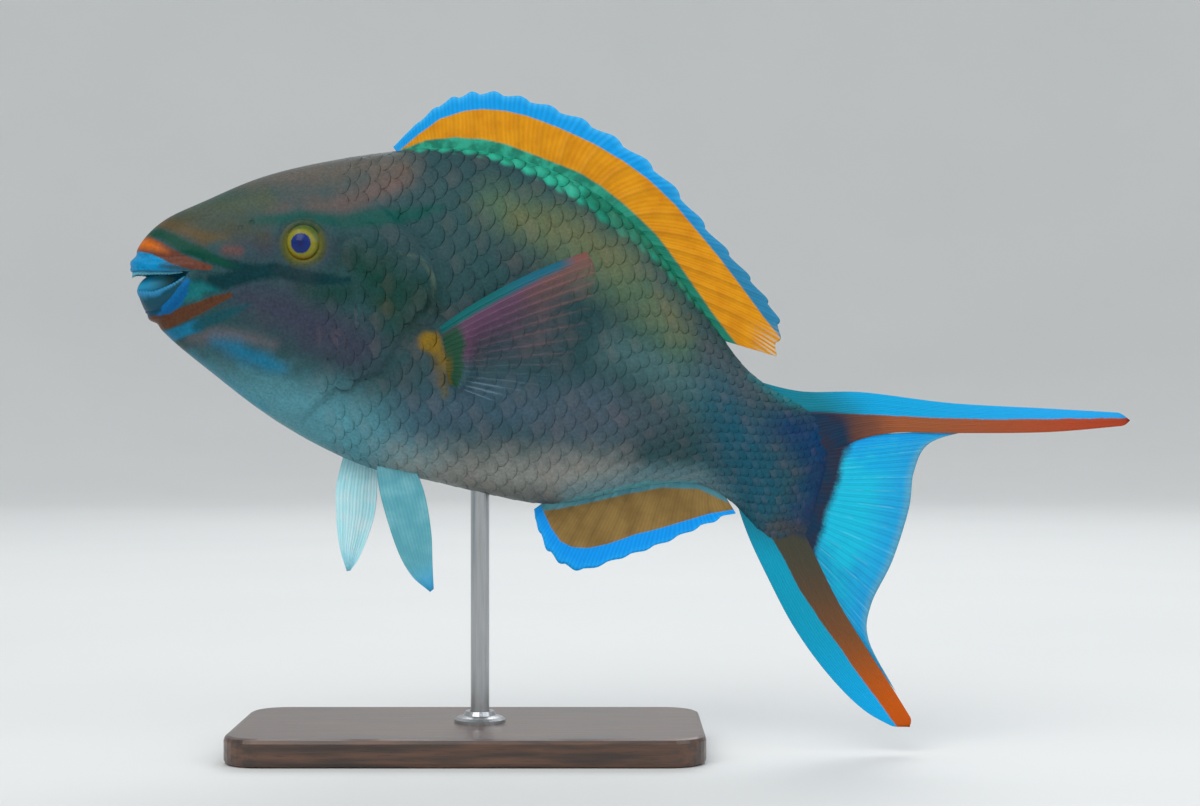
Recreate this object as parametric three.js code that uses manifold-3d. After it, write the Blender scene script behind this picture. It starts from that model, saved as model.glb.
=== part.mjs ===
import * as THREE from 'three';
import { mergeVertices } from 'three/addons/utils/BufferGeometryUtils.js';
import Module from 'manifold-3d';

// A life-size parrotfish on a display stand, in millimetres with +Z up.
// The head points to -X, the left side to -Y, and the middle of the underside
// of the base is the origin. The fish swims head up, its ends bent to its left.

const wasm = await Module();
wasm.setup();

// Gaps and depths between neighbours
const GAP = 0.3;
const FIN_SINK = 5;

// Bend of the body, measured at the lips and at the tips of the tail
const HEAD_TURN = 14;
const HEAD_REACH = 146;
const TAIL_SWEEP = 24;
const TAIL_BEND_START = 20;
const TAIL_REACH = 264;

// Ribs of the body from the lips to the root of the tail fin:
// top x, top z, bottom x, bottom z, half width
const RIBS = [
  [-144.3, 201.0, -144.3, 201.0, 0.0],
  [-143.2, 207.0, -141.0, 195.0, 7.0],
  [-139.0, 218.0, -136.0, 186.0, 11.0],
  [-129.1, 227.9, -126.2, 175.2, 14.8],
  [-112.5, 236.2, -110.5, 162.0, 18.5],
  [-89.5, 246.3, -88.7, 144.9, 22.0],
  [-64.2, 253.0, -65.0, 130.3, 24.8],
  [-33.5, 257.9, -40.7, 120.0, 26.8],
  [-4.3, 259.3, -17.2, 115.2, 27.6],
  [25.8, 253.3, 6.5, 109.7, 27.0],
  [51.6, 241.6, 30.1, 105.4, 25.0],
  [73.1, 224.4, 49.5, 107.1, 22.0],
  [90.2, 203.3, 68.8, 111.8, 18.5],
  [105.2, 182.7, 86.0, 114.4, 14.5],
  [118.0, 165.5, 100.1, 113.2, 11.0],
  [130.8, 155.6, 112.9, 105.5, 7.5],
  [145.7, 148.8, 126.6, 90.5, 4.0],
  [157.6, 140.2, 141.5, 82.0, 1.6],
];
const RING_POINTS = 24;
const RINGS_PER_RIB = 2;
// How round a section is: the back is a little keeled and the belly is full
const SECTION_POWER = 0.95;
const SECTION_KEEL = 0.1;

// Cuts between head, trunk and tail stem, from the back down to the belly, in x, z
const GILL_EDGE = [[-50, 275], [-34, 236], [-19, 215], [-12.5, 198], [-20, 184],
  [-34, 166], [-50, 148], [-62, 110]];
const STEM_EDGE = [[112, 210], [107, 165], [101, 130], [90, 90]];
const GILL_COVER = [[-44, 226], [-55, 212], [-60, 190], [-60, 168], [-50, 152],
  [-20, 150], [0, 170], [5, 200], [-10, 218], [-30, 228]];
const COVER_DEPTH = 3.5;
// Places clear of the whole body, where outlines of cuts are closed
const HEAD_CLEAR = 200;
const BACK_CLEAR = 320;
const BELLY_CLEAR = 40;
const SIDE_CLEAR = 70;
// A plane between the two gill covers, which lie on either side of it
const COVERS_BETWEEN = -12;

// Mouth: the lips' edges, the corner and the bared lower tooth plate, in x, z
const UPPER_LIP = [[-143.1, 206.5], [-136.7, 205.1], [-127.0, 204.7]];
const MOUTH_CORNER = [-118.2, 205.1];
const LOWER_RIM = [[-120.7, 202.6], [-124.9, 199.7], [-129.2, 197.6], [-133.4, 195.7],
  [-141.0, 195.5]];
const LOWER_LIP = [[-150, 195.5], [-150, 188.5], [-136.8, 186.4], [-130.0, 186.6],
  [-125.8, 190.0], [-121.6, 194.2], [-119.1, 199.7]];
const UPPER_PLATE = [[-146, 208.5], [-146, 205.5], [-136.7, 204.2], [-127.0, 204.0],
  [-122.0, 204.8], [-122.0, 208.5]];
const PLATE_DEPTH = 3.2;
const LOWER_PLATE_INSET = 0.8;
const UPPER_PLATE_INSET = 1.4;
// The mouth opens this far ahead of the snout's height at the lips, top and bottom
const GAPE_FRONT = [[-160, 207], [-160, 195.4]];
// The solid throat that closes the mouth behind the teeth
const THROAT_FRONT = -131;
const THROAT_REAR = -100;
const THROAT_LOW = 180;
const THROAT_HIGH = 220;
const THROAT_HALF = 9;

// Eyes: centre of each ball in x, z, distance from the middle, and half sizes
const EYE_X = -70.6;
const EYE_Z = 216.2;
const EYE_OUT = 17.6;
const EYE_RADIUS = 8.6;
const EYE_HALF_DEPTH = 5.6;
const EYE_FORWARD_DEG = 12;

// Fins: the line where each meets the body and its free edge, in x, z
const DORSAL_BASE = [[-32, 257.9], [-4.3, 259.3], [25.8, 253.3], [51.6, 241.6],
  [73.1, 224.4], [90.2, 203.3], [110.4, 175.5]];
const DORSAL_EDGE = [[-33, 259.3], [-24, 268.0], [-9, 278.9], [8, 281.9], [29.6, 277.3],
  [55.0, 266.3], [80.0, 248.0], [101.0, 224.0], [119.5, 202.5], [131.5, 184.5],
  [130.0, 169.6]];
const DORSAL_RAYS = 19;
const ANAL_BASE = [[30.1, 105.4], [49.5, 107.1], [68.8, 111.8], [86.0, 114.4],
  [100.1, 113.2], [111.0, 107.0]];
const ANAL_EDGE = [[27.5, 103.5], [29.0, 97.0], [35.5, 84.5], [47.3, 77.8], [64.5, 82.6],
  [81.7, 88.2], [98.8, 95.6], [113.5, 102.8]];
const ANAL_RAYS = 12;
const MEDIAN_FIN_THICK = [2.6, 0.7];
const SCALLOP_DEPTH = 0.9;

// Tail fin: the two long lobes between their outer and inner edges, and the web
const UPPER_LOBE_OUTER = [[118, 160], [141.5, 154.3], [168, 153.8], [205, 149.2],
  [245, 146.9], [277.4, 145.0]];
const UPPER_LOBE_INNER = [[135, 118], [160.5, 131.3], [180, 136.4], [205, 136.4],
  [245, 136.9], [279.2, 139.9]];
const LOWER_LOBE_OUTER = [[110, 122], [118.5, 95.0], [138.5, 51.5], [154.2, 31.7],
  [169.0, 16.8], [183.5, 9.8]];
const LOWER_LOBE_INNER = [[138, 105], [147.8, 84.2], [158.4, 62.9], [170.0, 44.0],
  [180.0, 28.5], [190.0, 12.2]];
const WEB_ROOT = [[158, 134], [146, 118], [141, 104], [137, 92], [134, 80]];
const WEB_EDGE = [[214, 139], [194.2, 131.5], [189.2, 120], [187.4, 104], [180.5, 82],
  [169.6, 62], [169.8, 48], [182, 26]];
const LOBE_THICK = [3.0, 0.9];
// How fast a lobe thins towards its tip, and how much it thins towards its edges
const LOBE_FALL = 0.7;
const LOBE_EDGE_THINNING = 0.35;
// The room that a lobe's slot in the web has in thickness
const SLOT_ROOM = 1.8;
const WEB_THICK = [2.8, 0.6];

// Paired fins: a pectoral fin's root and free edge, and each pelvic fin's edges
const PECTORAL_ROOT = [[-12.0, 184.5], [-9.0, 173.0], [-6.0, 164.0], [-3.5, 155.5]];
const PECTORAL_EDGE = [[51.5, 210.5], [54.0, 203.0], [52.5, 188.0], [46.5, 170.0],
  [33.5, 156.5], [14.4, 149.0]];
const PECTORAL_OUT = 26.4;
const PECTORAL_SPLAY = 19;
const PECTORAL_THICK = [2.4, 0.6];
const LEFT_PELVIC_FRONT = [[-40, 129], [-38.5, 112], [-31.4, 88.6], [-24.7, 76.3],
  [-16.4, 69.2]];
const LEFT_PELVIC_REAR = [[-26, 127], [-19.5, 112], [-16.2, 95], [-15.4, 80],
  [-14.8, 70.4]];
const RIGHT_PELVIC_FRONT = [[-53, 132], [-57.4, 114], [-57.6, 100], [-56.4, 87],
  [-53.4, 76]];
const RIGHT_PELVIC_REAR = [[-40, 129], [-40.2, 111], [-42.0, 98], [-47.5, 83],
  [-51.8, 76.2]];
const PELVIC_OUT = 6;
const PELVIC_SPLAY = 9;
const PELVIC_THICK = [2.4, 0.7];

// Stand: a plain base, one rod up into the belly, and a collar at its foot
const BASE_LENGTH = 200;
const BASE_WIDTH = 104;
const BASE_HEIGHT = 12;
const BASE_CORNER = 16;
const BASE_BEVEL = 2;
const ROD_X = 4.3;
const ROD_RADIUS = 4;
const ROD_TOP = 120;
const ROD_BORE_START = 60;
const COLLAR_RADIUS = 11;
const COLLAR_HEIGHT = 5;
// The collar's lip, shoulder and neck: distances in from its rim or out from its
// bore, and heights
const COLLAR_LIP = 1.4;
const COLLAR_SHOULDER = [1.2, 2.4];
const COLLAR_NECK = [[2.6, 3.2], [1.8, 5]];

// How finely curved surfaces are faceted
const CUT_STEPS = 14;
const COVER_STEPS = 18;
const EYE_FACETS = [18, 10];
const FACETS_PER_RAY = 2;
const FIN_ROWS = 2;
const LOBE_COLUMNS = 20;
const WEB_FACETS = [18, 3];
const PECTORAL_FACETS = [12, 3];
const PELVIC_FACETS = [10, 3];
const ROD_FACETS = 24;
const COLLAR_FACETS = 28;
const CORNER_FACETS = 4;
// The narrowest that a body section may be, so that no ring closes up
const LEAST_HALF = 0.2;

// Colours and finishes
const SKIN_LOOK = { color: 0x6f8478, roughness: 0.5 };
const STEM_LOOK = { color: 0x35506b, roughness: 0.5 };
const UPPER_BEAK_LOOK = { color: 0xcfe6df, roughness: 0.3 };
const LOWER_BEAK_LOOK = { color: 0x1f6f7c, roughness: 0.3 };
const EYE_LOOK = { color: 0xc8b92a, roughness: 0.1 };
const DORSAL_LOOK = { color: 0xf0992a, roughness: 0.45 };
const ANAL_LOOK = { color: 0xb97a38, roughness: 0.45 };
const UPPER_LOBE_LOOK = { color: 0x3f9ad0, roughness: 0.45 };
const WEB_LOOK = { color: 0x46b9d2, roughness: 0.45 };
const LOWER_LOBE_LOOK = { color: 0xd0752c, roughness: 0.45 };
const PECTORAL_LOOK = { color: 0xc0607a, roughness: 0.45 };
const PELVIC_LOOK = { color: 0x6fb8d0, roughness: 0.45 };
const WOOD_LOOK = { color: 0x3b2a20, roughness: 0.5 };
const STEEL_LOOK = { color: 0xb8bcc0, roughness: 0.35, metalness: 1 };

// A smooth curve through points of the side view
function rail(points) {
  const nodes = points.map(([x, z]) => new THREE.Vector3(x, 0, z));
  return new THREE.CatmullRomCurve3(nodes, false, 'catmullrom', 0.5);
}

function mix(a, b, share) {
  return a + (b - a) * share;
}

// Sideways place and slope of the body's middle at x: two parabolas, one each way
function midline(x) {
  if (x < 0) {
    return [-HEAD_TURN * (x / HEAD_REACH) ** 2, (-2 * HEAD_TURN * x) / HEAD_REACH ** 2];
  }
  const past = Math.max(0, x - TAIL_BEND_START) / TAIL_REACH;
  return [-TAIL_SWEEP * past ** 2, (-2 * TAIL_SWEEP * past) / TAIL_REACH];
}

// A point of the bent fish: out to the side from the middle, square to it
function bent(x, out, z) {
  const [y, slope] = midline(x);
  const length = Math.hypot(1, slope);
  return new THREE.Vector3(x - (out * slope) / length, y + out / length, z);
}

// A geometry from points and triangles of their numbers
function geometryOf(points, triangles) {
  const geometry = new THREE.BufferGeometry();
  const flat = points.flatMap((point) => [point.x, point.y, point.z]);
  geometry.setAttribute('position', new THREE.Float32BufferAttribute(flat, 3));
  geometry.setIndex(triangles.flat());
  return geometry;
}

// A closed geometry as a solid, with its faces turned outwards
function solid(geometry) {
  const bare = geometry.clone();
  bare.deleteAttribute('normal');
  bare.deleteAttribute('uv');
  const merged = mergeVertices(bare, 1e-4);
  const vertProperties = merged.attributes.position.array;
  const triVerts = new Uint32Array(merged.index.array);
  const numProp = 3;
  const made = new wasm.Manifold(new wasm.Mesh({ numProp, vertProperties, triVerts }));
  if (made.volume() > 0) {
    return made;
  }
  triVerts.reverse();
  return new wasm.Manifold(new wasm.Mesh({ numProp, vertProperties, triVerts }));
}

// A solid back as a geometry
function geometryFrom(piece) {
  const { vertProperties, triVerts } = piece.getMesh();
  const geometry = new THREE.BufferGeometry();
  geometry.setAttribute('position', new THREE.BufferAttribute(vertProperties, 3));
  geometry.setIndex(new THREE.BufferAttribute(triVerts, 1));
  return geometry;
}

// The whole body: rings around ribs, each ring between the rib's top and bottom,
// its half width falling off with a power of the cosine. It can be grown or shrunk.
function body(grow = 0) {
  const top = rail(RIBS.map((rib) => [rib[0], rib[1]]));
  const bottom = rail(RIBS.map((rib) => [rib[2], rib[3]]));
  const width = rail(RIBS.map((rib) => [rib[4], 0]));
  const last = RIBS.length - 1;
  const steps = last * RINGS_PER_RIB;
  const points = [];
  for (let i = 1; i <= steps; i += 1) {
    const share = i / steps;
    const high = top.getPoint(share);
    const low = bottom.getPoint(share);
    const up = high.clone().sub(low).normalize();
    high.addScaledVector(up, grow);
    low.addScaledVector(up, -grow);
    const half = Math.max(width.getPoint(share).x + grow, LEAST_HALF);
    for (let j = 0; j < RING_POINTS; j += 1) {
      const turn = (2 * Math.PI * j) / RING_POINTS;
      const power = SECTION_POWER + SECTION_KEEL * Math.sin(turn);
      const out = Math.sign(Math.cos(turn)) * half * Math.abs(Math.cos(turn)) ** power;
      const centre = low.clone().lerp(high, 0.5 + 0.5 * Math.sin(turn));
      points.push(bent(centre.x, out, centre.z));
    }
  }
  const triangles = [];
  for (let i = 0; i < steps - 1; i += 1) {
    for (let j = 0; j < RING_POINTS; j += 1) {
      const a = i * RING_POINTS + j;
      const b = i * RING_POINTS + ((j + 1) % RING_POINTS);
      triangles.push([a, b, a + RING_POINTS], [b, b + RING_POINTS, a + RING_POINTS]);
    }
  }
  const front = points.push(bent(RIBS[0][0] - grow, 0, RIBS[0][1])) - 1;
  const tail = RIBS[last];
  const endX = mix(tail[0], tail[2], 0.5) + grow;
  const back = points.push(bent(endX, 0, mix(tail[1], tail[3], 0.5))) - 1;
  const lastRing = (steps - 1) * RING_POINTS;
  for (let j = 0; j < RING_POINTS; j += 1) {
    const next = (j + 1) % RING_POINTS;
    triangles.push([front, next, j], [back, lastRing + j, lastRing + next]);
  }
  return solid(geometryOf(points, triangles));
}

// A slab across the fish with an outline in x, z, between two sideways places
function slab(outline, from = -SIDE_CLEAR, to = SIDE_CLEAR) {
  const shape = new THREE.Shape(outline.map(([x, z]) => new THREE.Vector2(x, z)));
  const geometry = new THREE.ExtrudeGeometry(shape, { depth: to - from, bevelEnabled: false });
  geometry.rotateX(Math.PI / 2);
  geometry.translate(0, to, 0);
  return solid(geometry);
}

// Points along a smooth curve, shifted along x
function smooth(points, steps, shift = 0) {
  return rail(points).getPoints(steps).map((point) => [point.x + shift, point.z]);
}

// Everything ahead of a cut that runs from back to belly
function ahead(edge, shift) {
  const cut = smooth(edge, CUT_STEPS, shift);
  const above = [cut[0][0], BACK_CLEAR];
  const below = [cut[cut.length - 1][0], BELLY_CLEAR];
  return slab([[-HEAD_CLEAR, BACK_CLEAR], above, ...cut, below, [-HEAD_CLEAR, BELLY_CLEAR]]);
}

// An outline pushed out from its own middle
function widened(outline, margin) {
  const middleX = outline.reduce((sum, point) => sum + point[0], 0) / outline.length;
  const middleZ = outline.reduce((sum, point) => sum + point[1], 0) / outline.length;
  return outline.map(([x, z]) => {
    const length = Math.hypot(x - middleX, z - middleZ);
    const scale = (length + margin) / length;
    return [middleX + (x - middleX) * scale, middleZ + (z - middleZ) * scale];
  });
}

// A part of the body's wall: between two depths, inside an outline
function wall(outline, inset, depth) {
  return body(-inset).subtract(body(-depth)).intersect(slab(outline));
}

// A seat for such a part, open to the outside
function seat(outline, depth) {
  return wall(outline, -1, depth + GAP);
}

// The eye ball: a flattened sphere whose axis leans towards the head's front
function eyeBall(side, grow = 0) {
  const geometry = new THREE.SphereGeometry(1, ...EYE_FACETS);
  const radius = EYE_RADIUS + grow;
  geometry.scale(radius, EYE_HALF_DEPTH + grow, radius);
  geometry.rotateZ(THREE.MathUtils.degToRad(side * EYE_FORWARD_DEG));
  const centre = bent(EYE_X, side * EYE_OUT, EYE_Z);
  geometry.translate(centre.x, centre.y, centre.z);
  return solid(geometry);
}

// A fin between two rails, its faces half a thickness off its middle surface
function blade(inner, outer, options) {
  const { columns, rows, thickness, out, sink = 0, margin = 0, edge = () => 0 } = options;
  const points = [];
  for (const side of [1, -1]) {
    for (let i = 0; i <= columns; i += 1) {
      const along = i / columns;
      const a = inner.getPoint(along);
      const b = outer.getPoint(along);
      const across = b.clone().sub(a).normalize();
      a.addScaledVector(across, -sink - margin);
      b.addScaledVector(across, margin + edge(along));
      for (let j = 0; j <= rows; j += 1) {
        const share = j / rows;
        const off = out(along, share) + (side * thickness(along, share)) / 2;
        points.push(bent(mix(a.x, b.x, share), off, mix(a.z, b.z, share)));
      }
    }
  }
  const row = rows + 1;
  const half = (columns + 1) * row;
  const triangles = [];
  const quad = (a, b, c, d) => triangles.push([a, b, c], [a, c, d]);
  for (let i = 0; i < columns; i += 1) {
    for (let j = 0; j < rows; j += 1) {
      const a = i * row + j;
      quad(a, a + row, a + row + 1, a + 1);
      quad(half + a, half + a + 1, half + a + row + 1, half + a + row);
    }
    const low = i * row;
    const high = i * row + rows;
    quad(low, half + low, half + low + row, low + row);
    quad(high, high + row, half + high + row, half + high);
  }
  for (let j = 0; j < rows; j += 1) {
    const far = columns * row + j;
    quad(j, j + 1, half + j + 1, half + j);
    quad(far, half + far, half + far + 1, far + 1);
  }
  return solid(geometryOf(points, triangles));
}

// A thickness that falls from the root to the edge
function taper([root, edge]) {
  return (along, share) => mix(root, edge, share);
}

function middle() {
  return 0;
}

// A fin on the back or the belly, with a scalloped edge between its rays
function medianFin(base, edge, rays) {
  const scallop = (along) => SCALLOP_DEPTH * Math.abs(Math.sin(Math.PI * rays * along));
  const facets = { columns: rays * FACETS_PER_RAY, rows: FIN_ROWS };
  const options = { ...facets, thickness: taper(MEDIAN_FIN_THICK), out: middle };
  return blade(rail(base), rail(edge), { ...options, sink: FIN_SINK, edge: scallop });
}

// A long lobe of the tail fin, thinner towards its tip
function lobe(outer, inner, margin = 0) {
  const [root, tip] = LOBE_THICK;
  const room = margin > 0 ? SLOT_ROOM : 0;
  const thickness = (along, share) => {
    const waist = 1 - LOBE_EDGE_THINNING * (2 * share - 1) ** 2;
    return mix(root, tip, along ** LOBE_FALL) * waist + room;
  };
  const facets = { columns: LOBE_COLUMNS, rows: FIN_ROWS };
  return blade(rail(inner), rail(outer), { ...facets, thickness, out: middle, margin });
}

// The soft web of the tail fin, cut clear of the lobes
function tailWeb() {
  const [columns, rows] = WEB_FACETS;
  const options = { columns, rows, thickness: taper(WEB_THICK), out: middle };
  return blade(rail(WEB_ROOT), rail(WEB_EDGE), options)
    .subtract(lobe(UPPER_LOBE_OUTER, UPPER_LOBE_INNER, GAP))
    .subtract(lobe(LOWER_LOBE_OUTER, LOWER_LOBE_INNER, GAP));
}

// A pectoral fin, fanned out and held a little away from the flank
function pectoralFin(side) {
  const out = (along, share) => side * (PECTORAL_OUT + PECTORAL_SPLAY * share);
  const [columns, rows] = PECTORAL_FACETS;
  const options = { columns, rows, thickness: taper(PECTORAL_THICK), out, sink: FIN_SINK };
  return blade(rail(PECTORAL_ROOT), rail(PECTORAL_EDGE), options);
}

// A pelvic fin, hanging from the belly and spread to its side
function pelvicFin(side, front, rear) {
  const out = (along) => side * (PELVIC_OUT + PELVIC_SPLAY * along);
  const [root, tip] = PELVIC_THICK;
  const thickness = (along) => mix(root, tip, along);
  const [columns, rows] = PELVIC_FACETS;
  return blade(rail(front), rail(rear), { columns, rows, thickness, out });
}

// A straight upright pin, from one height to another
function pin(radius, from, to) {
  const geometry = new THREE.CylinderGeometry(radius, radius, to - from, ROD_FACETS);
  geometry.rotateX(Math.PI / 2);
  geometry.translate(ROD_X, 0, (from + to) / 2);
  return geometry;
}

// A rectangle with round corners, thickened and bevelled along its edges
function standBase() {
  const x = BASE_LENGTH / 2 - BASE_BEVEL;
  const y = BASE_WIDTH / 2 - BASE_BEVEL;
  const r = BASE_CORNER - BASE_BEVEL;
  const shape = new THREE.Shape();
  shape.moveTo(-x + r, -y);
  shape.lineTo(x - r, -y);
  shape.absarc(x - r, -y + r, r, -Math.PI / 2, 0);
  shape.lineTo(x, y - r);
  shape.absarc(x - r, y - r, r, 0, Math.PI / 2);
  shape.lineTo(-x + r, y);
  shape.absarc(-x + r, y - r, r, Math.PI / 2, Math.PI);
  shape.lineTo(-x, -y + r);
  shape.absarc(-x + r, -y + r, r, Math.PI, 1.5 * Math.PI);
  const depth = BASE_HEIGHT - 2 * BASE_BEVEL;
  const bevel = { bevelThickness: BASE_BEVEL, bevelSize: BASE_BEVEL, bevelSegments: 2 };
  const options = { depth, curveSegments: CORNER_FACETS, ...bevel };
  const geometry = new THREE.ExtrudeGeometry(shape, options);
  geometry.translate(0, 0, BASE_BEVEL);
  return geometry;
}

// A turned collar around the foot of the rod
function standCollar() {
  const bore = ROD_RADIUS + GAP;
  const shoulder = [COLLAR_RADIUS - COLLAR_SHOULDER[0], COLLAR_SHOULDER[1]];
  const neck = COLLAR_NECK.map(([out, height]) => [bore + out, height]);
  const profile = [[bore, 0], [COLLAR_RADIUS, 0], [COLLAR_RADIUS, COLLAR_LIP], shoulder,
    ...neck, [bore, COLLAR_HEIGHT], [bore, 0]];
  const points = profile.map(([radius, height]) => new THREE.Vector2(radius, height));
  const geometry = new THREE.LatheGeometry(points, COLLAR_FACETS);
  geometry.rotateX(Math.PI / 2);
  geometry.translate(ROD_X, 0, BASE_HEIGHT);
  return geometry;
}

// The head with its mouth, eye sockets and seats for the tooth plates
function headPiece(lowerPlate, upperPlate) {
  const [above, below] = GAPE_FRONT;
  const gape = slab([above, ...UPPER_LIP, MOUTH_CORNER, ...LOWER_RIM, below]);
  const throatOutline = [[THROAT_FRONT, THROAT_LOW], [THROAT_REAR, THROAT_LOW],
    [THROAT_REAR, THROAT_HIGH], [THROAT_FRONT, THROAT_HIGH]];
  const throat = slab(throatOutline, -HEAD_TURN - THROAT_HALF, -HEAD_TURN / 2 + THROAT_HALF);
  return body().intersect(ahead(GILL_EDGE, -GAP / 2))
    .subtract(gape.subtract(throat))
    .subtract(seat(widened(lowerPlate, GAP), PLATE_DEPTH))
    .subtract(seat(widened(upperPlate, GAP), PLATE_DEPTH))
    .subtract(eyeBall(1, GAP))
    .subtract(eyeBall(-1, GAP));
}

// Everything between two sideways planes
function between(from, to) {
  return slab([[-HEAD_CLEAR, 0], [HEAD_CLEAR, 0], [HEAD_CLEAR, BACK_CLEAR],
    [-HEAD_CLEAR, BACK_CLEAR]], from, to);
}

const whole = body();
const clearance = body(GAP);
const lowerPlate = [...LOWER_RIM, ...LOWER_LIP];
const coverOutline = smooth([...GILL_COVER, GILL_COVER[0]], COVER_STEPS);
const coverSeat = seat(widened(coverOutline, GAP / 2), COVER_DEPTH);
const covers = wall(widened(coverOutline, -GAP / 2), 0, COVER_DEPTH)
  .intersect(ahead(GILL_EDGE, -GAP / 2));
const leftCover = covers.intersect(between(-SIDE_CLEAR, COVERS_BETWEEN));
const rightCover = covers.intersect(between(COVERS_BETWEEN, SIDE_CLEAR));

const head = headPiece(lowerPlate, UPPER_PLATE).subtract(coverSeat);
const trunk = whole.intersect(ahead(STEM_EDGE, -GAP / 2))
  .subtract(ahead(GILL_EDGE, GAP / 2))
  .subtract(solid(pin(ROD_RADIUS + GAP, ROD_BORE_START, ROD_TOP + GAP)));
const tailStem = whole.subtract(ahead(STEM_EDGE, GAP / 2));

const medianFins = {
  dorsal_fin: [medianFin(DORSAL_BASE, DORSAL_EDGE, DORSAL_RAYS), DORSAL_LOOK],
  anal_fin: [medianFin(ANAL_BASE, ANAL_EDGE, ANAL_RAYS), ANAL_LOOK],
  tail_fin_upper_lobe: [lobe(UPPER_LOBE_OUTER, UPPER_LOBE_INNER), UPPER_LOBE_LOOK],
  tail_fin_web: [tailWeb(), WEB_LOOK],
  tail_fin_lower_lobe: [lobe(LOWER_LOBE_OUTER, LOWER_LOBE_INNER), LOWER_LOBE_LOOK],
};
const pairedFins = {
  pectoral_fin_left: [pectoralFin(-1), PECTORAL_LOOK],
  pectoral_fin_right: [pectoralFin(1), PECTORAL_LOOK],
  pelvic_fin_left: [pelvicFin(-1, LEFT_PELVIC_FRONT, LEFT_PELVIC_REAR), PELVIC_LOOK],
  pelvic_fin_right: [pelvicFin(1, RIGHT_PELVIC_FRONT, RIGHT_PELVIC_REAR), PELVIC_LOOK],
};
const bodyPieces = {
  head: [head, SKIN_LOOK],
  gill_cover_left: [leftCover, SKIN_LOOK],
  gill_cover_right: [rightCover, SKIN_LOOK],
  trunk: [trunk, SKIN_LOOK],
  tail_stem: [tailStem, STEM_LOOK],
  beak_upper: [wall(UPPER_PLATE, UPPER_PLATE_INSET, PLATE_DEPTH), UPPER_BEAK_LOOK],
  beak_lower: [wall(lowerPlate, LOWER_PLATE_INSET, PLATE_DEPTH), LOWER_BEAK_LOOK],
  eye_left: [eyeBall(-1), EYE_LOOK],
  eye_right: [eyeBall(1), EYE_LOOK],
};

function named(name, geometry, look) {
  const mesh = new THREE.Mesh(geometry, new THREE.MeshStandardMaterial(look));
  mesh.name = name;
  return mesh;
}

const fish = new THREE.Group();
for (const [name, [piece, look]] of Object.entries(bodyPieces)) {
  fish.add(named(name, geometryFrom(piece), look));
}
// Each fin ends a gap short of the body
for (const [name, [piece, look]] of Object.entries({ ...medianFins, ...pairedFins })) {
  fish.add(named(name, geometryFrom(piece.subtract(clearance)), look));
}

const stand = new THREE.Group();
stand.add(named('stand_base', standBase(), WOOD_LOOK));
stand.add(named('stand_rod', pin(ROD_RADIUS, BASE_HEIGHT, ROD_TOP), STEEL_LOOK));
stand.add(named('stand_collar', standCollar(), STEEL_LOOK));

const group = new THREE.Group();
group.add(fish, stand);
export default group;
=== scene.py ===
# %% [markdown]
# # A parrotfish on a display stand
# The subject is a male parrotfish about 43 cm long, swimming head up with every fin spread.
# A solid model of it, cut into its named parts, already exists. Here each part that shows
# is made again as a fine mesh in the same place, and gets its colours and gloss.

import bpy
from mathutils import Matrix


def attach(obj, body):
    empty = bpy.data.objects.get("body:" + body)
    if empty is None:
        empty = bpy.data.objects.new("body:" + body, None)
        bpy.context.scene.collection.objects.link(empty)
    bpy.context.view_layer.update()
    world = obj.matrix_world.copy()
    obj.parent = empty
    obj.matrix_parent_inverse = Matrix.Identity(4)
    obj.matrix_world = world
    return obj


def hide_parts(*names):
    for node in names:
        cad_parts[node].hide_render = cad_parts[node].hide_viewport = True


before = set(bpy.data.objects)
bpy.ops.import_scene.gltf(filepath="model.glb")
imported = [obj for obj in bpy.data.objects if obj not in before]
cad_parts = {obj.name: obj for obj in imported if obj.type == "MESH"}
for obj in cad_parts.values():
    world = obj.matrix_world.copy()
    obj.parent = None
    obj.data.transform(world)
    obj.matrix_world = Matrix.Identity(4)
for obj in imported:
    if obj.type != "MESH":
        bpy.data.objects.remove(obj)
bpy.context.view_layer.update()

# %% [markdown]
# ## The camera
# The photograph was taken level with the fish and square to its side. The fish's middle
# plane shows 0.43 mm a pixel, so the distance follows from the lens: a fairly long one,
# 70 mm, since the real camera was some way off and the fish looks little distorted.

# %% Camera
import math

import bpy
import numpy as np

MM = 0.001
PHOTO_WIDTH, PHOTO_HEIGHT = 1200, 806
PIXEL = 0.43
ORIGIN_COLUMN, ORIGIN_ROW = 470, 750
LENS, SENSOR = 70.0, 36.0

scene = bpy.context.scene
camera = bpy.data.objects.new("camera", bpy.data.cameras.new("camera"))
scene.collection.objects.link(camera)
camera.data.lens, camera.data.sensor_width = LENS, SENSOR
distance = PIXEL * PHOTO_WIDTH * LENS / SENSOR
camera.location = ((PHOTO_WIDTH / 2 - ORIGIN_COLUMN) * PIXEL * MM, -distance * MM,
                   (ORIGIN_ROW - PHOTO_HEIGHT / 2) * PIXEL * MM)
camera.rotation_euler = (math.radians(90), 0, 0)
scene.camera = camera
print("camera", round(distance), "mm from the fish")

# %% [markdown]
# ## From arrays to meshes
# Every piece below is a grid of points worked out with numpy. One helper numbers the faces
# of a grid, two close its ends, and one hands points, faces and named numbers to Blender.
# A closed shape whose enclosed volume comes out negative is inside out, so it is turned.

# %% Mesh helpers
def grid_faces(rows, columns):
    """Four-cornered faces between neighbouring rows and columns of numbered points. The
    last column is joined to the first, so the grid is a tube."""
    row = np.arange(rows - 1)[:, None] * columns
    here = np.arange(columns)[None, :]
    after = (here + 1) % columns
    corners = [row + here, row + after, row + columns + after, row + columns + here]
    return np.stack(corners, axis=-1).reshape(-1, 4)


def end_faces(rows, columns):
    """One many-cornered face over the first row and one over the last."""
    first = np.arange(columns)[None, ::-1]
    return [first, (rows - 1) * columns + first[:, ::-1]]


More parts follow.
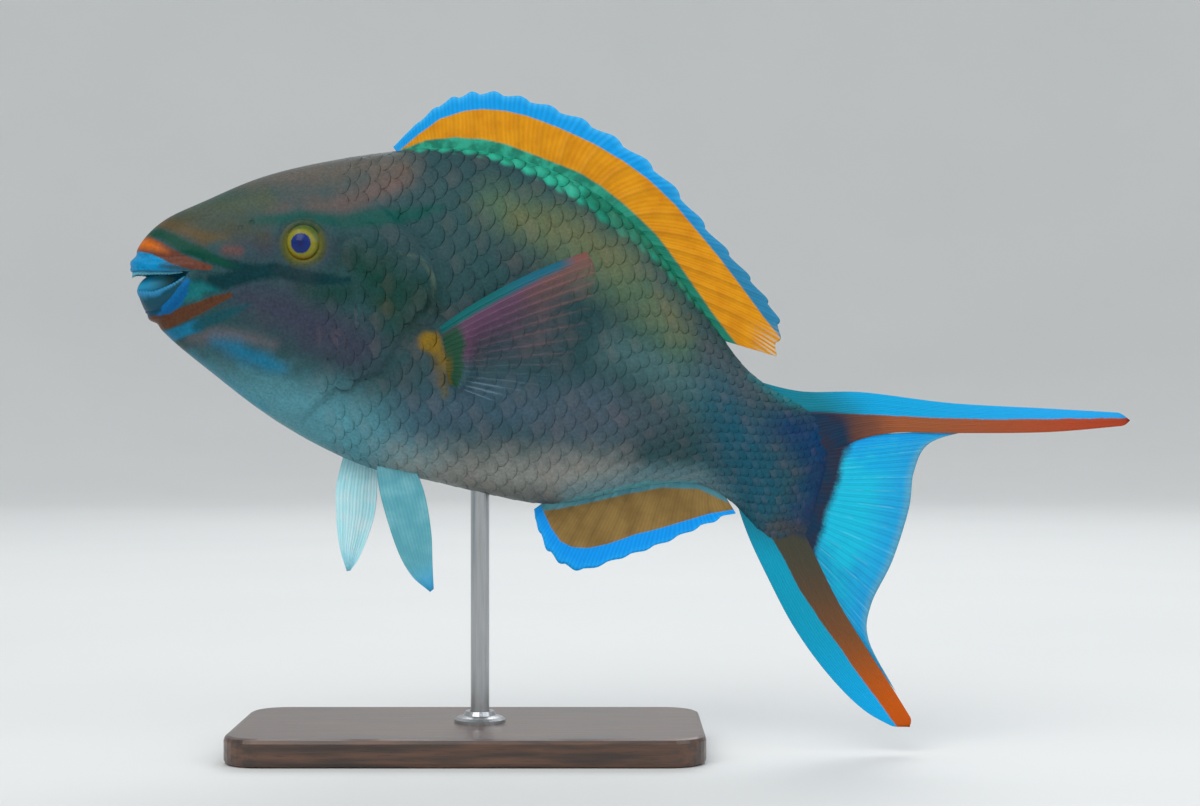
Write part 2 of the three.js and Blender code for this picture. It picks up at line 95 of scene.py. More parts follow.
def end_fans(rows, columns):
    """Triangles that close a grid's ends: from its first row to a point numbered just past
    the grid, and from its last row to the point after that."""
    here = np.arange(columns)
    after = (here + 1) % columns
    hub = np.full_like(here, rows * columns)
    last = (rows - 1) * columns
    return [np.stack([hub, after, here], axis=1), np.stack([hub + 1, last + here, last + after], axis=1)]


def round_turns(count):
    """Evenly spaced turns round a circle, in radians, up to the one before a full turn."""
    return 2 * np.pi * np.arange(count) / count


def turned_out(points, faces):
    """The faces as they are, or reversed where the volume they enclose is negative. The
    volume is the sum, over triangles, of one corner dotted with the others' cross product."""
    volume = 0.0
    for group in faces:
        corner = points[group]
        for k in range(1, group.shape[1] - 1):
            volume += np.sum(corner[:, 0] * np.cross(corner[:, k], corner[:, k + 1]))
    return faces if volume > 0 else [group[:, ::-1] for group in faces]


def new_piece(name, points, faces, fields=None, patches=None):
    """A smooth mesh object from points in metres and groups of faces, with named numbers
    on its points and, for small repeated pieces, a patch of an unwrap for each point."""
    points = points.reshape(-1, 3)
    faces = turned_out(points, faces)
    corners = np.concatenate([group.ravel() for group in faces]).astype(np.int32)
    sizes = np.concatenate([np.full(len(group), group.shape[1]) for group in faces])
    mesh = bpy.data.meshes.new(name)
    mesh.vertices.add(len(points))
    mesh.vertices.foreach_set("co", points.astype(np.float32).ravel())
    mesh.loops.add(len(corners))
    mesh.loops.foreach_set("vertex_index", corners)
    mesh.polygons.add(len(sizes))
    mesh.polygons.foreach_set("loop_start", (np.cumsum(sizes) - sizes).astype(np.int32))
    mesh.update(calc_edges=True)
    mesh.polygons.foreach_set("use_smooth", np.ones(len(sizes), dtype=bool))
    for field, values in (fields or {}).items():
        layer = mesh.attributes.new(field, "FLOAT", "POINT")
        layer.data.foreach_set("value", np.ascontiguousarray(values, np.float32).ravel())
    if patches is not None:
        unwrap = mesh.uv_layers.new(name="OFBake")
        spots = patches.reshape(-1, 2)[corners]
        unwrap.data.foreach_set("uv", spots.astype(np.float32).ravel())
    mesh.validate()
    piece = bpy.data.objects.new(name, mesh)
    scene.collection.objects.link(piece)
    print(name, int(np.sum(sizes - 2)), "triangles")
    return piece


def settle(piece, finish, slot, *nodes):
    """Gives a piece its finish and place in the model, in the stead of solid nodes."""
    piece.data.materials.append(finish)
    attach(piece, "root")
    if nodes:
        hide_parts(*nodes)


# %% [markdown]
# ## Colours and materials as sums
# A material is a small net of nodes. Two short classes keep it readable: a Wire is what a
# node gives out, and sums with wires add Math nodes; a Finish adds any other node. Colour
# is built up as a model maker does it: a ground, and thin coats over it, each of which
# shows only where its share is above 0.

# %% Material helpers
class Wire:
    """What a node gives out. Sums, products and powers with it add Math nodes."""

    def __init__(self, tree, socket):
        self.tree, self.socket = tree, socket

    def math(self, operation, first, second):
        """A Math node on two values, each of them a wire or a plain number."""
        node = self.tree.nodes.new("ShaderNodeMath")
        node.operation = operation
        for socket, value in zip(node.inputs, (first, second)):
            if isinstance(value, Wire):
                self.tree.links.new(value.socket, socket)
            else:
                socket.default_value = value
        return Wire(self.tree, node.outputs[0])

    def __add__(self, other):
        return self.math("ADD", self, other)

    def __sub__(self, other):
        return self.math("SUBTRACT", self, other)

    def __rsub__(self, other):
        return self.math("SUBTRACT", other, self)

    def __mul__(self, other):
        return self.math("MULTIPLY", self, other)

    def __pow__(self, other):
        return self.math("POWER", self, other)

    __radd__ = __add__
    __rmul__ = __mul__


def paint(red, green, blue):
    """A colour given as on a screen, 0 to 255, as the linear light that Blender mixes: the
    screen's curve is a power of 2.4 with a straight foot."""
    linear = [((v / 255 + 0.055) / 1.055) ** 2.4 if v > 10 else v / 3295 for v in (red, green, blue)]
    return (*linear, 1.0)


def as_colour(shade):
    """A screen colour as linear light, and a wire as it is."""
    return shade if isinstance(shade, Wire) else paint(*shade)


def dimmed(shade, factor):
    """A screen colour with its red, green and blue multiplied by a factor."""
    return [factor * value for value in shade]


class Finish:
    """One material. Every node other than a sum comes from node()."""

    def __init__(self, name):
        self.material = bpy.data.materials.new(name)
        self.material.use_nodes = True
        self.tree = self.material.node_tree
        self.tree.nodes.clear()

    def node(self, kind, settings=None, inputs=None, output=0):
        """Adds a node: its type, its settings, which come first, and what its sockets get."""
        node = self.tree.nodes.new("ShaderNode" + kind)
        for key, value in (settings or {}).items():
            setattr(node, key, value)
        for key, value in (inputs or {}).items():
            if isinstance(value, Wire):
                self.tree.links.new(value.socket, node.inputs[key])
            else:
                node.inputs[key].default_value = value
        return Wire(self.tree, node.outputs[output])

    def field(self, name):
        """A number that the mesh carries on its points."""
        return self.node("Attribute", {"attribute_name": name}, output="Fac")

    def place(self, stretch):
        """Where a point lies in the model, in metres, stretched along each axis."""
        spot = self.node("TexCoord", output="Object")
        return self.node("Mapping", {}, {"Vector": spot, "Scale": stretch})

    def noise(self, scale, detail, stretch=(1, 1, 1)):
        """Soft random values, about 0 to 1: scale waves to the metre, and detail times
        finer waves over them."""
        inputs = {"Vector": self.place(stretch), "Scale": scale, "Detail": detail}
        return self.node("TexNoise", {}, inputs, "Fac")

    def fade(self, value, start, stop):
        """0 before start, 1 past stop, and a smooth step between them."""
        inputs = {"Value": value, "From Min": start, "From Max": stop}
        return self.node("MapRange", {"interpolation_type": "SMOOTHSTEP"}, inputs)

    def mix(self, share, first, second):
        """A colour between two others."""
        return self.node("Mix", {"data_type": "RGBA"}, {0: share, 6: first, 7: second}, output=2)

    def coats(self, ground, *coats):
        """Coats over a ground, from the lowest to the top one. Each is the share of it that
        shows and its shade, and is mixed with what lies under it by that share."""
        colour = as_colour(ground)
        for share, shade in coats:
            colour = self.mix(share, colour, as_colour(shade))
        return colour

    def shade(self, colour, factor):
        """A colour made lighter or darker by a factor."""
        return self.node("VectorMath", {"operation": "SCALE"}, {0: colour, "Scale": factor})

    def wave(self, phase, times):
        """A cosine of a phase, 0 to 1, so many times as fine as the phase itself."""
        angle = phase * (2 * math.pi * times)
        return self.node("Math", {"operation": "COSINE"}, {0: angle}) * 0.5 + 0.5

    def surface(self, colour, roughness, height=None, alpha=None, fixed=None):
        """Closes the material: colour, roughness, a height in millimetres for the fine
        relief, an alpha, and numbers that are the same all over."""
        inputs = {"Base Color": colour, "Roughness": roughness, **(fixed or {})}
        if height is not None:
            relief = {"Height": height, "Distance": MM, "Strength": 1.0}
            inputs["Normal"] = self.node("Bump", {}, relief)
        if alpha is not None:
            inputs["Alpha"] = alpha
        shader = self.node("BsdfPrincipled", {}, inputs)
        end = self.tree.nodes.new("ShaderNodeOutputMaterial")
        self.tree.links.new(shader.socket, end.inputs["Surface"])
        return self.material


# %% [markdown]
# ## The shape of the body
# A fish's body is a stack of upright ovals along a line from lips to tail. Fewer than
# twenty of them, read off the side view with widths from the species, carry a smooth
# surface. Its two parameters are t, from the snout to the tail root, and the turn round
# the oval. A parabola at each end of the middle line bends the swimming body a little.

# %% Body surface
HEAD_TURN, HEAD_REACH = 14.0, 146.0
TAIL_SWEEP, TAIL_BEND_START, TAIL_REACH = 24.0, 20.0, 264.0
SECTION_POWER, SECTION_KEEL = 0.95, 0.1
SKIN_INSET = 0.8
LEAST_HALF = 0.2
NORMAL_STEPS, LEAST_NORMAL = (0.004, 0.02), 1e-12
SWEEP_START, SWEEP_STEPS = 0.004, 1501
# Ovals from lips to tail root: top x, top z, bottom x, bottom z, half width
RIBS = np.array([
    [-144.3, 201.0, -144.3, 201.0, 0.0], [-143.2, 207.0, -141.0, 195.0, 7.0],
    [-139.0, 218.0, -136.0, 186.0, 11.0], [-129.1, 227.9, -126.2, 175.2, 14.8],
    [-112.5, 236.2, -110.5, 162.0, 18.5], [-89.5, 246.3, -88.7, 144.9, 22.0],
    [-64.2, 253.0, -65.0, 130.3, 24.8], [-33.5, 257.9, -40.7, 120.0, 26.8],
    [-4.3, 259.3, -17.2, 115.2, 27.6], [25.8, 253.3, 6.5, 109.7, 27.0],
    [51.6, 241.6, 30.1, 105.4, 25.0], [73.1, 224.4, 49.5, 107.1, 22.0],
    [90.2, 203.3, 68.8, 111.8, 18.5], [105.2, 182.7, 86.0, 114.4, 14.5],
    [118.0, 165.5, 100.1, 113.2, 11.0], [130.8, 155.6, 112.9, 105.5, 7.5],
    [145.7, 148.8, 126.6, 90.5, 4.0], [157.6, 140.2, 141.5, 82.0, 1.6]])


def through(points, shares):
    """A smooth curve through points. Between two of them it is the cubic whose slope at
    each is half the step between its neighbours; past the ends the neighbours mirror."""
    points = np.asarray(points, float)
    last = len(points) - 1
    place = np.clip(np.asarray(shares, float), 0, 1) * last
    leg = np.minimum(place.astype(int), last - 1)
    f = (place - leg)[..., None]
    ends = np.vstack([2 * points[0] - points[1], points, 2 * points[-1] - points[-2]])
    a, b, c, d = (ends[leg + k] for k in range(4))
    slope_b, slope_c = (c - a) / 2, (d - b) / 2
    square = 3 * (c - b) - 2 * slope_b - slope_c
    return b + slope_b * f + square * f ** 2 + (2 * (b - c) + slope_b + slope_c) * f ** 3


def bend(x, out, z):
    """Places of the bent fish in metres. The middle line is a parabola ahead of zero and
    another behind the belly, and the step outwards is taken square to it."""
    ahead = np.minimum(x, 0) / HEAD_REACH
    behind = np.maximum(x - TAIL_BEND_START, 0) / TAIL_REACH
    y = -HEAD_TURN * ahead ** 2 - TAIL_SWEEP * behind ** 2
    slope = -2 * HEAD_TURN * ahead / HEAD_REACH - 2 * TAIL_SWEEP * behind / TAIL_REACH
    length = np.hypot(1, slope)
    return np.stack([x - out * slope / length, y + out / length, z], axis=-1) * MM


def oval(t, turn, inset=SKIN_INSET):
    """Unbent x, out and z of the body's wall. The oval at t runs between its rib's top and
    bottom: its height goes with the sine of the turn and its half width with a power of
    the cosine, a little less than one below, where the belly is full."""
    rib = through(RIBS, t)
    top, low = rib[..., 0:2], rib[..., 2:4]
    up = top - low
    up = up / np.maximum(np.linalg.norm(up, axis=-1, keepdims=True), LEAST_HALF)
    depth = np.asarray(inset)[..., None]
    top, low = top - up * depth, low + up * depth
    half = np.maximum(rib[..., 4] - inset, LEAST_HALF)
    rise, across = np.sin(turn), np.cos(turn)
    out = np.sign(across) * half * np.abs(across) ** (SECTION_POWER + SECTION_KEEL * rise)
    centre = low + (top - low) * (0.5 + 0.5 * rise)[..., None]
    return centre[..., 0], out, centre[..., 1]


def wall(t, turn, inset=SKIN_INSET):
    """The body's wall in the model, without its relief."""
    return bend(*oval(t, turn, inset))


def wall_steps(t, turn, step_t, step_turn):
    """How the wall runs along and round, from a small step before a place to one after."""
    along = wall(t + step_t, turn) - wall(t - step_t, turn)
    around = wall(t, turn + step_turn) - wall(t, turn - step_turn)
    return along, around


def wall_normal(t, turn):
    """Which way the wall faces: the cross product of its steps round and along."""
    along, around = wall_steps(t, turn, *NORMAL_STEPS)
    normal = np.cross(around, along)
    return normal / np.maximum(np.linalg.norm(normal, axis=-1, keepdims=True), LEAST_NORMAL)


def locate(x, z):
    """The t and the rise, from -1 at the belly to 1 at the back, of side-view points. The
    rib lines sweep backwards in fine steps, and a point's t is where they pass it."""
    x, z = np.ravel(x), np.ravel(z)
    steps = np.linspace(SWEEP_START, 1, SWEEP_STEPS)
    rib = through(RIBS, steps)
    run, climb = rib[:, 0] - rib[:, 2], rib[:, 1] - rib[:, 3]
    side = (x[:, None] - rib[:, 2]) * climb - (z[:, None] - rib[:, 3]) * run
    ahead = side < 0
    after = np.maximum(np.where(ahead.any(axis=1), ahead.argmax(axis=1), len(steps) - 1), 1)
    rows = np.arange(len(x))
    before, past = side[rows, after - 1], side[rows, after]
    share = np.clip(before / np.where(before == past, 1, before - past), 0, 1)
    t = steps[after - 1] + share * (steps[after] - steps[after - 1])
    rib = through(RIBS, t)
    rise = 2 * (z - rib[:, 3]) / (rib[:, 1] - rib[:, 3]) - 1
    return t, np.clip(rise, -1, 1)


body_length = float(wall(1.0, 0.0)[0] - wall(0.0, 0.0)[0]) / MM
print("body", round(body_length), "mm from snout to tail root")

# %% [markdown]
# ## Lines on the side view
# Lips, gill cover and colour bands are all lines on the fish's side. A band is a centre
# line with half widths, and what the mesh carries is each point's distance from it in
# millimetres, less than zero inside. A distance stays sharp between points, where a
# painted colour would blur.

# %% Distances and folds
UPPER_LIP = [(-143.1, 206.5), (-136.7, 205.1), (-127.0, 204.7)]
MOUTH_CORNER = (-118.2, 205.1)
LOWER_LIP = [(-120.0, 201.8), (-124.4, 197.6), (-128.2, 192.8), (-132.2, 188.6), (-136.6, 187.0)]
EYE_X, EYE_Z, EYE_OUT = -70.6, 216.2, 17.6
EYE_RADIUS, EYE_HALF_DEPTH, EYE_FORWARD = 8.6, 5.6, math.radians(5)
NOSTRILS = [(-97.5, 223.6), (-92.5, 226.0)]
# How far back the gill cover reaches at each height
GILL_HEIGHTS = [110, 130, 145, 157, 162, 171, 185, 192, 198, 209.5, 215.5, 222.5, 236]
GILL_BACKS = [-84, -78, -68, -54.8, -37, -32, -22.3, -15.8, -13.2, -16.3, -22.4, -26.8, -40]
CHEEK_FOLD = [(-50, 214, 0), (-45, 200, 0), (-46, 186, 0), (-56, 172, 0), (-76, 163, 0)]
JAW_FOLD = [(-112, 203, 0), (-108, 196, 0), (-112, 188, 0)]
THROAT_FOLD = [(-54, 157, 0), (-78, 158, 0), (-100, 166, 0)]
# Ridges and grooves beside those lines: how far past the line, how wide, how high
LIP_FOLDS = [(2.2, 1.8, 1.0), (5.8, 1.4, -0.5)]
CHEEK_RIDGE, CHEEK_GROOVE, CHEEK_GROOVE_FRONT = [(0.0, 3.0, 0.45)], [(4.0, 1.8, -0.5)], -62
JAW_GROOVE, THROAT_GROOVE = [(0.0, 1.3, -0.5)], [(0.0, 1.6, -0.3)]
EYE_FOLDS = [(13.5, 3.0, 0.3), (18.0, 2.5, -0.2)]
SOCKET_DEPTH, SOCKET_EDGE = 6.0, (6.8, 9.4)
COVER_RISE, COVER_SLOPE, COVER_DROP = 1.3, (-20, -1.5), (-1.2, 0.4)
COVER_GROOVE, COVER_LOW, COVER_HIGH = [(1.4, 1.5, -0.6)], (138, 150), (222, 236)
# Farther than any point of the model
FAR = 1e9


def legs_of(path):
    """Each leg of a line: where it starts and how far it runs and climbs."""
    for (x0, z0, *_), (x1, z1, *_) in zip(path[:-1], path[1:]):
        yield x0, z0, x1 - x0, z1 - z0


def from_leg(x, z, leg):
    """The nearest share of a leg, and the steps from there to the points."""
    x0, z0, run, climb = leg
    share = np.clip(((x - x0) * run + (z - z0) * climb) / (run ** 2 + climb ** 2), 0, 1)
    return share, x - x0 - share * run, z - z0 - share * climb


def band(x, z, path):
    """How far side-view points lie outside a band: the least, over the legs of its centre
    line, of the distance to the leg less the half width there."""
    least = np.full(np.shape(x), FAR)
    for leg, (*_, half0), (*_, half1) in zip(legs_of(path), path[:-1], path[1:]):
        share, dx, dz = from_leg(x, z, leg)
        least = np.minimum(least, np.hypot(dx, dz) - half0 - share * (half1 - half0))
    return least


def beyond(x, z, path):
    """How far points lie to the left of an open line, as one walks it: the distance to
    the nearest leg, with the sign of the leg's cross product with the step from it."""
    least, side = np.full(np.shape(x), FAR), np.ones(np.shape(x))
    for leg in legs_of(path):
        _, dx, dz = from_leg(x, z, leg)
        away = np.hypot(dx, dz)
        side = np.where(away < least, np.sign(leg[2] * dz - leg[3] * dx), side)
        least = np.minimum(least, away)
    return least * side


def folds(distance, bells):
    """Ridges and grooves beside a line, added up. Each is a bell: its height times the
    exponential of minus the square of the distance from its own place by its width."""
    return sum(height * np.exp(-((distance - place) / width) ** 2) for place, width, height in bells)


def step(value, start, stop):
    """0 before start, 1 past stop, and a smooth step between them."""
    share = np.clip((value - start) / (stop - start), 0, 1)
    return share ** 2 * (3 - 2 * share)


def behind_gill(x, z):
    """How far a point lies behind the gill cover's rear edge."""
    return x - np.interp(z, GILL_HEIGHTS, GILL_BACKS)


def relief(x, z, past):
    """How far folds lift the skin, in millimetres. Lips are a ridge just off their edge
    with a groove behind; the gill cover rises to its edge and drops behind it; cheek, jaw
    and throat have folds of their own; the eye sits in a deep socket."""
    lips = band(x, z, [(*p, 0) for p in [*UPPER_LIP, MOUTH_CORNER, *LOWER_LIP]])
    cheek = band(x, z, CHEEK_FOLD)
    from_eye = np.hypot(x - EYE_X, z - EYE_Z)
    on_side = step(z, *COVER_LOW) * (1 - step(z, *COVER_HIGH))
    cover = COVER_RISE * step(past, *COVER_SLOPE) * (1 - step(past, *COVER_DROP))
    height = folds(lips, LIP_FOLDS) + on_side * (cover + folds(past, COVER_GROOVE))
    height = height + folds(cheek, CHEEK_RIDGE) + folds(cheek, CHEEK_GROOVE) * (x > CHEEK_GROOVE_FRONT)
    height = height + folds(band(x, z, JAW_FOLD), JAW_GROOVE)
    height = height + folds(band(x, z, THROAT_FOLD), THROAT_GROOVE)
    return height + folds(from_eye, EYE_FOLDS) - SOCKET_DEPTH * (1 - step(from_eye, *SOCKET_EDGE))


def flesh(t, turn, lift=0.0, past_from=-FAR, past_to=FAR):
    """The skin with its folds, and anything lifted off it by so many millimetres. What
    must stay on one side of the gill cover's edge has its distance past it held there."""
    x, _, z = oval(t, turn)
    past = np.clip(behind_gill(x, z), past_from, past_to)
    height = (relief(x, z, past) + lift)[..., None] * MM
    return wall(t, turn) + wall_normal(t, turn) * height


# %% [markdown]
# ## The markings
# A male parrotfish is grey green with a rose tint, darker blue at the tail. Orange bands
# run over and under a blue mouth, green stripes run to and over the eye, and a green band
# lies under the dorsal fin. They are listed once, in the order in which they are painted,
# about from the softest to the sharpest, and both skin and scales use the list. Each has a
# colour, how softly it ends in millimetres, how strong it is, and its bands on the side
# view: for each point of a centre line its x, its z and the half width there.

# %% List of markings
FLANK = (40, 70, 74)
MARKINGS = {
    # Soft shades of the flank, belly and head
    "belly_pale": ((80, 138, 150), 26, 1.0, [
        [(-112, 157, 8), (-89, 148, 14), (-64, 139, 18), (-38, 130, 16), (-20, 122, 10)]]),
    "lower_blue": ((62, 90, 106), 26, 0.8, [
        [(-20, 143, 11), (1, 148, 13), (31, 146, 11), (56, 144, 11)]]),
    "rose_flank": ((74, 84, 94), 24, 0.6, [
        [(39, 140, 10), (62, 141, 11), (80, 144, 8)], [(2, 178, 6), (30, 180, 10)]]),
    "belly_rose": ((142, 144, 138), 26, 0.95, [
        [(-29, 122, 5), (-8, 119, 8), (22, 118, 9), (48, 118, 8), (62, 120, 5)]]),
    "anal_pale": ((112, 146, 154), 14, 0.9, [
        [(44, 110, 3), (64, 114, 4), (80, 116.5, 5), (99, 115.5, 5), (110, 109, 4)]]),
    "flank_rear": ((72, 106, 108), 24, 0.8, [[(62, 172, 6), (80, 166, 9), (100, 154, 8)]]),
    "flank_teal": ((42, 74, 76), 24, 0.8, [[(-7, 234, 8), (5, 209, 11), (14, 192, 7)]]),
    "back_olive": ((76, 102, 78), 22, 0.9, [
        [(12, 233, 7), (39, 220, 12), (61, 207, 12), (78, 188, 9), (90, 174, 5)]]),
    "back_orange": ((112, 102, 64), 18, 0.5, [
        [(22, 227, 4), (46, 221, 6), (66, 207, 5)], [(82, 191, 3), (90, 182, 3)]]),
    "nape": ((96, 88, 80), 20, 0.95, [
        [(-92, 243, 3), (-68, 247, 6), (-50, 249, 6), (-29, 250, 5)]]),
    "forehead_rose": ((112, 82, 72), 10, 0.5, [
        [(-68, 232, 3), (-53, 233, 4), (-40, 239, 4), (-29, 244, 4)], [(-84, 231, 2), (-76, 232, 2)]]),
    "forehead_green": ((70, 80, 62), 14, 0.9, [
        [(-119, 230, 3), (-104, 233, 5), (-88, 235, 5)]]),
    "cheek_violet": ((54, 58, 74), 18, 0.95, [
        [(-96, 194, 5), (-78, 188, 10), (-65, 181, 11), (-48, 172, 9)], [(-94, 217, 4), (-85, 215, 4)],
        [(-62, 214, 2), (-52, 212, 2)]]),
    "gill_green": ((10, 56, 46), 18, 0.9, [
        [(-50, 211, 5), (-40, 203, 9), (-29, 195, 9), (-16, 192, 6)], [(-68, 196, 3), (-54, 196, 5)],
        [(-30, 186, 6), (-24, 184, 5)]]),
    "gill_edge": ((92, 110, 92), 2.6, 0.6, [
        [(-28.8, 212.1, 0.2), (-19.3, 209.2, 0.6), (-14.1, 201.6, 0.7), (-13.7, 192.2, 0.6),
         (-17.4, 182.8, 0.2)]]),
    "olive_spot": ((34, 52, 26), 9, 0.7, [[(-37, 191, 2.5), (-33, 189, 2.5)]]),
    "shoulder_dark": ((20, 42, 46), 9, 0.7, [[(-12, 196, 2), (-14, 187, 2.5), (-20, 178, 2)]]),
    # The stem of the tail
    "stem_blue": ((24, 80, 99), 30, 1.0, [
        [(108, 152, 8), (118, 134, 14), (124, 112, 13), (130, 91, 8)]]),
    "stem_dark": ((0, 54, 96), 20, 0.95, [
        [(135, 139, 6), (147, 134, 10), (153, 120, 9), (147, 103, 8), (140, 86, 6)]]),
    "stem_violet": ((18, 38, 70), 10, 0.85, [
        [(157, 131, 4), (154, 117, 4.5), (150, 103, 4.5), (146, 90, 4)]]),
    "stem_brown": ((64, 64, 60), 14, 0.95, [[(132, 96, 3), (148, 91, 4)]]),
    "stem_top": ((8, 116, 124), 6, 0.95, [
        [(120, 161, 0.5), (129, 155, 1.5), (137, 151.5, 3), (147, 149.5, 3.2), (157, 148, 3)]]),
    "stem_rose": ((86, 82, 86), 12, 0.45, [[(103, 172, 3), (112, 162, 3), (120, 154, 3)]]),
    "anal_line": ((90, 164, 172), 1.8, 0.9, [
        [(38, 106.6, 0.4), (50, 109.2, 1), (65, 112.6, 1.2), (77, 115, 1.2), (97, 115.4, 0.4)]]),
    # The green band under the dorsal fin, darker to the rear
    "green_band": ((26, 140, 116), 2.4, 1.0, [
        [(-24, 258, 1.2), (-7, 259, 2.6), (5, 258, 3.4), (17, 254.5, 4), (29, 249.5, 4.2),
         (41, 243, 4.5), (53, 236.5, 4.7), (63, 228, 5), (73, 221, 4.4), (85, 210, 3.8),
         (93, 200, 3.5), (102, 190, 3), (109, 181, 2)]]),
    "green_rear": ((2, 84, 62), 8, 0.75, [
        [(52, 237, 4), (63, 228, 5), (73, 221, 5), (85, 210, 4), (93, 200, 3.6), (102, 190, 3),
         (109, 181, 2)]]),
    # Stripes and patches of the face
    "over_eye": ((0, 72, 66), 4.5, 0.95, [
        [(-95, 225.5, 0.6), (-87, 226, 1.8), (-80, 226.6, 2.1), (-71, 228, 2.2), (-63, 226.5, 2.4),
         (-53, 225.6, 3), (-42, 226.5, 3.8), (-31, 227.8, 3.6), (-18, 229.5, 2.4), (-10, 232, 1)]]),
    "snout_orange": ((98, 72, 34), 7, 0.9, [
        [(-134, 225.5, 1), (-127, 224.8, 2.4), (-119, 221.8, 2.8), (-112, 219, 2.4), (-104, 219, 1.2)]]),
    "red_spot": ((110, 64, 58), 6, 0.75, [[(-103.3, 213.8, 1.8), (-98, 213, 1.4)]]),
    "chin": ((108, 98, 104), 9, 0.7, [
        [(-118, 176.4, 1.2), (-110, 177.6, 2.4), (-100, 177.6, 2), (-92, 175.8, 1.6), (-84, 173.8, 1)]]),
    "throat_patch": ((8, 110, 146), 9, 0.85, [
        [(-108, 175, 1), (-101, 172.6, 3), (-94, 169.4, 3.2), (-86, 165.8, 2.8), (-79, 163.4, 0.6)]]),
    "throat_edge": ((46, 128, 152), 7, 0.8, [
        [(-118, 169.5, 0.8), (-111, 163, 1.4), (-104, 157.5, 1.8), (-96, 151.5, 1.5), (-88, 146.5, 1)]]),
    "snout_olive": ((68, 68, 46), 14, 0.7, [
        [(-125, 225, 3), (-112, 224, 4), (-97, 223, 4), (-88, 220, 3)]]),
    "mouth_stripe": ((0, 47, 53), 3, 0.95, [
        [(-120, 198, 3.4), (-112.6, 198.2, 3.8), (-103.7, 200.3, 3.6), (-94.4, 203.2, 3.6),
         (-84.7, 204.9, 3.2), (-75, 203.4, 3), (-65, 201.4, 3), (-57, 200.4, 2), (-49, 200.8, 0.8)],
        [(-110, 209.6, 0.6), (-100, 206.5, 2.2), (-92, 204.8, 2.6)]]),
    "corner_teal": ((16, 106, 110), 5.0, 0.95, [
        [(-119.6, 197.8, 3.2), (-114, 197.4, 2.4), (-107, 196.4, 0.4)],
        [(-121, 194.4, 2.4), (-115, 195, 2.2)]]),
    "green_upper": ((0, 64, 50), 2.4, 0.98, [
        [(-140, 220.6, 1.7), (-131.4, 221, 2), (-126.4, 218.4, 2.4), (-121.4, 215.3, 2.6),
         (-115, 212.5, 2.4), (-110, 210.2, 2.2), (-103.7, 207.6, 1.4), (-98, 206, 0.2)]]),
    # Bands round the mouth
    "blue_lip": ((0, 128, 180), 1.2, 1.0, [
        [(-146, 209.4, 4.4), (-140, 209.2, 4.2), (-134, 208.3, 3.6), (-129, 207, 2.6),
         (-123, 205.6, 1.2)]]),
    "lip_rear": ((36, 78, 92), 4.0, 0.95, [
        [(-130, 206.4, 0.8), (-125, 206.2, 1.8), (-119, 204.8, 1.6)]]),
    "orange_upper": ((98, 58, 46), 0.9, 1.0, [
        [(-143, 216.7, 3.2), (-138, 216.3, 3.1), (-133.3, 214.8, 3.1), (-128.9, 212.5, 3),
         (-123.9, 209.6, 2.7), (-117.6, 207.4, 2.3), (-110.1, 206, 1.1)]]),
    # Brighter orange at the snout's front: partly the band's own orange, partly a painted highlight on
    # the snout.
    "orange_and_highlight": ((196, 100, 14), 5, 1.0, [
        [(-144, 217.4, 2.6), (-137, 216.6, 2.2), (-132, 214.6, 1.2), (-127.5, 212.4, -0.6)]]),
    "orange_lower": ((84, 52, 34), 0.9, 1.0, [
        [(-138, 183.4, 3.4), (-127.1, 183.8, 3.1), (-121.1, 186.5, 2.9), (-113.8, 189.5, 2.5),
         (-106.9, 192.6, 1.9), (-101.2, 194.5, 0.9)]]),
    "blue_under": ((16, 104, 138), 1.8, 1.0, [
        [(-131.5, 176.6, 2), (-126.1, 177.7, 2.6), (-121.5, 179.5, 2.5), (-115.6, 181.6, 2.6)]]),
    "teal_under": ((16, 72, 82), 2.6, 0.9, [
        [(-115.6, 181.6, 2.4), (-108.8, 184.4, 2.3), (-100.8, 187.5, 1.8), (-92, 191, 0.2)]]),
    "lower_lip": ((4, 92, 148), 1.6, 1.0, [
        [(-131, 187.4, 1), (-128, 189.2, 2.6), (-124.6, 192.4, 3.1), (-121.8, 196.4, 2.5),
         (-119.4, 200.6, 1.2)]]),
    "lip_front": ((0, 60, 84), 1.6, 1.0, [[(-140, 187.6, 1.4), (-134.5, 187.6, 1.5), (-131, 188.4, 1)]]),
    # Behind the pectoral fin's root, round the eye and in the nostrils
    "axil_brown": ((92, 84, 52), 5, 0.85, [[(-12.5, 170, 2.6), (-11, 162, 2.4), (-9.5, 152.5, 1.4)]]),
    "axil_gold": ((128, 102, 18), 3.6, 1.0, [
        [(-17.2, 175, 4), (-14.4, 174.6, 4)], [(-12, 172, 2), (-9.5, 164, 1.4)]]),
    "eye_ring": ((72, 76, 34), 4.0, 1.0, [[(EYE_X - 0.4, EYE_Z, 9.4), (EYE_X + 0.4, EYE_Z, 9.4)]]),
    "eye_rim": ((98, 98, 30), 2.4, 1.0, [[(EYE_X - 0.4, EYE_Z, 7.2), (EYE_X + 0.4, EYE_Z, 7.2)]]),
    "eye_brow": ((8, 52, 26), 2.4, 1.0, [
        [(EYE_X - 5.6, EYE_Z + 5.6, 0.3), (EYE_X - 3, EYE_Z + 7.4, 1.2), (EYE_X, EYE_Z + 8, 1.5),
         (EYE_X + 3.4, EYE_Z + 7.4, 1.3), (EYE_X + 6.2, EYE_Z + 5.2, 0.5)]]),
    "nostril": ((18, 34, 36), 0.8, 1.0, [
        [(x - 0.2, z, 0.5), (x + 0.2, z, 0.5)] for x, z in NOSTRILS]),
}


def marking_fields(x, z):
    """For each marking, the points' distance from its nearest band."""
    return {name: np.min([band(x, z, path) for path in paths], axis=0)
            for name, (_, _, _, paths) in MARKINGS.items()}


print(len(MARKINGS), "markings")

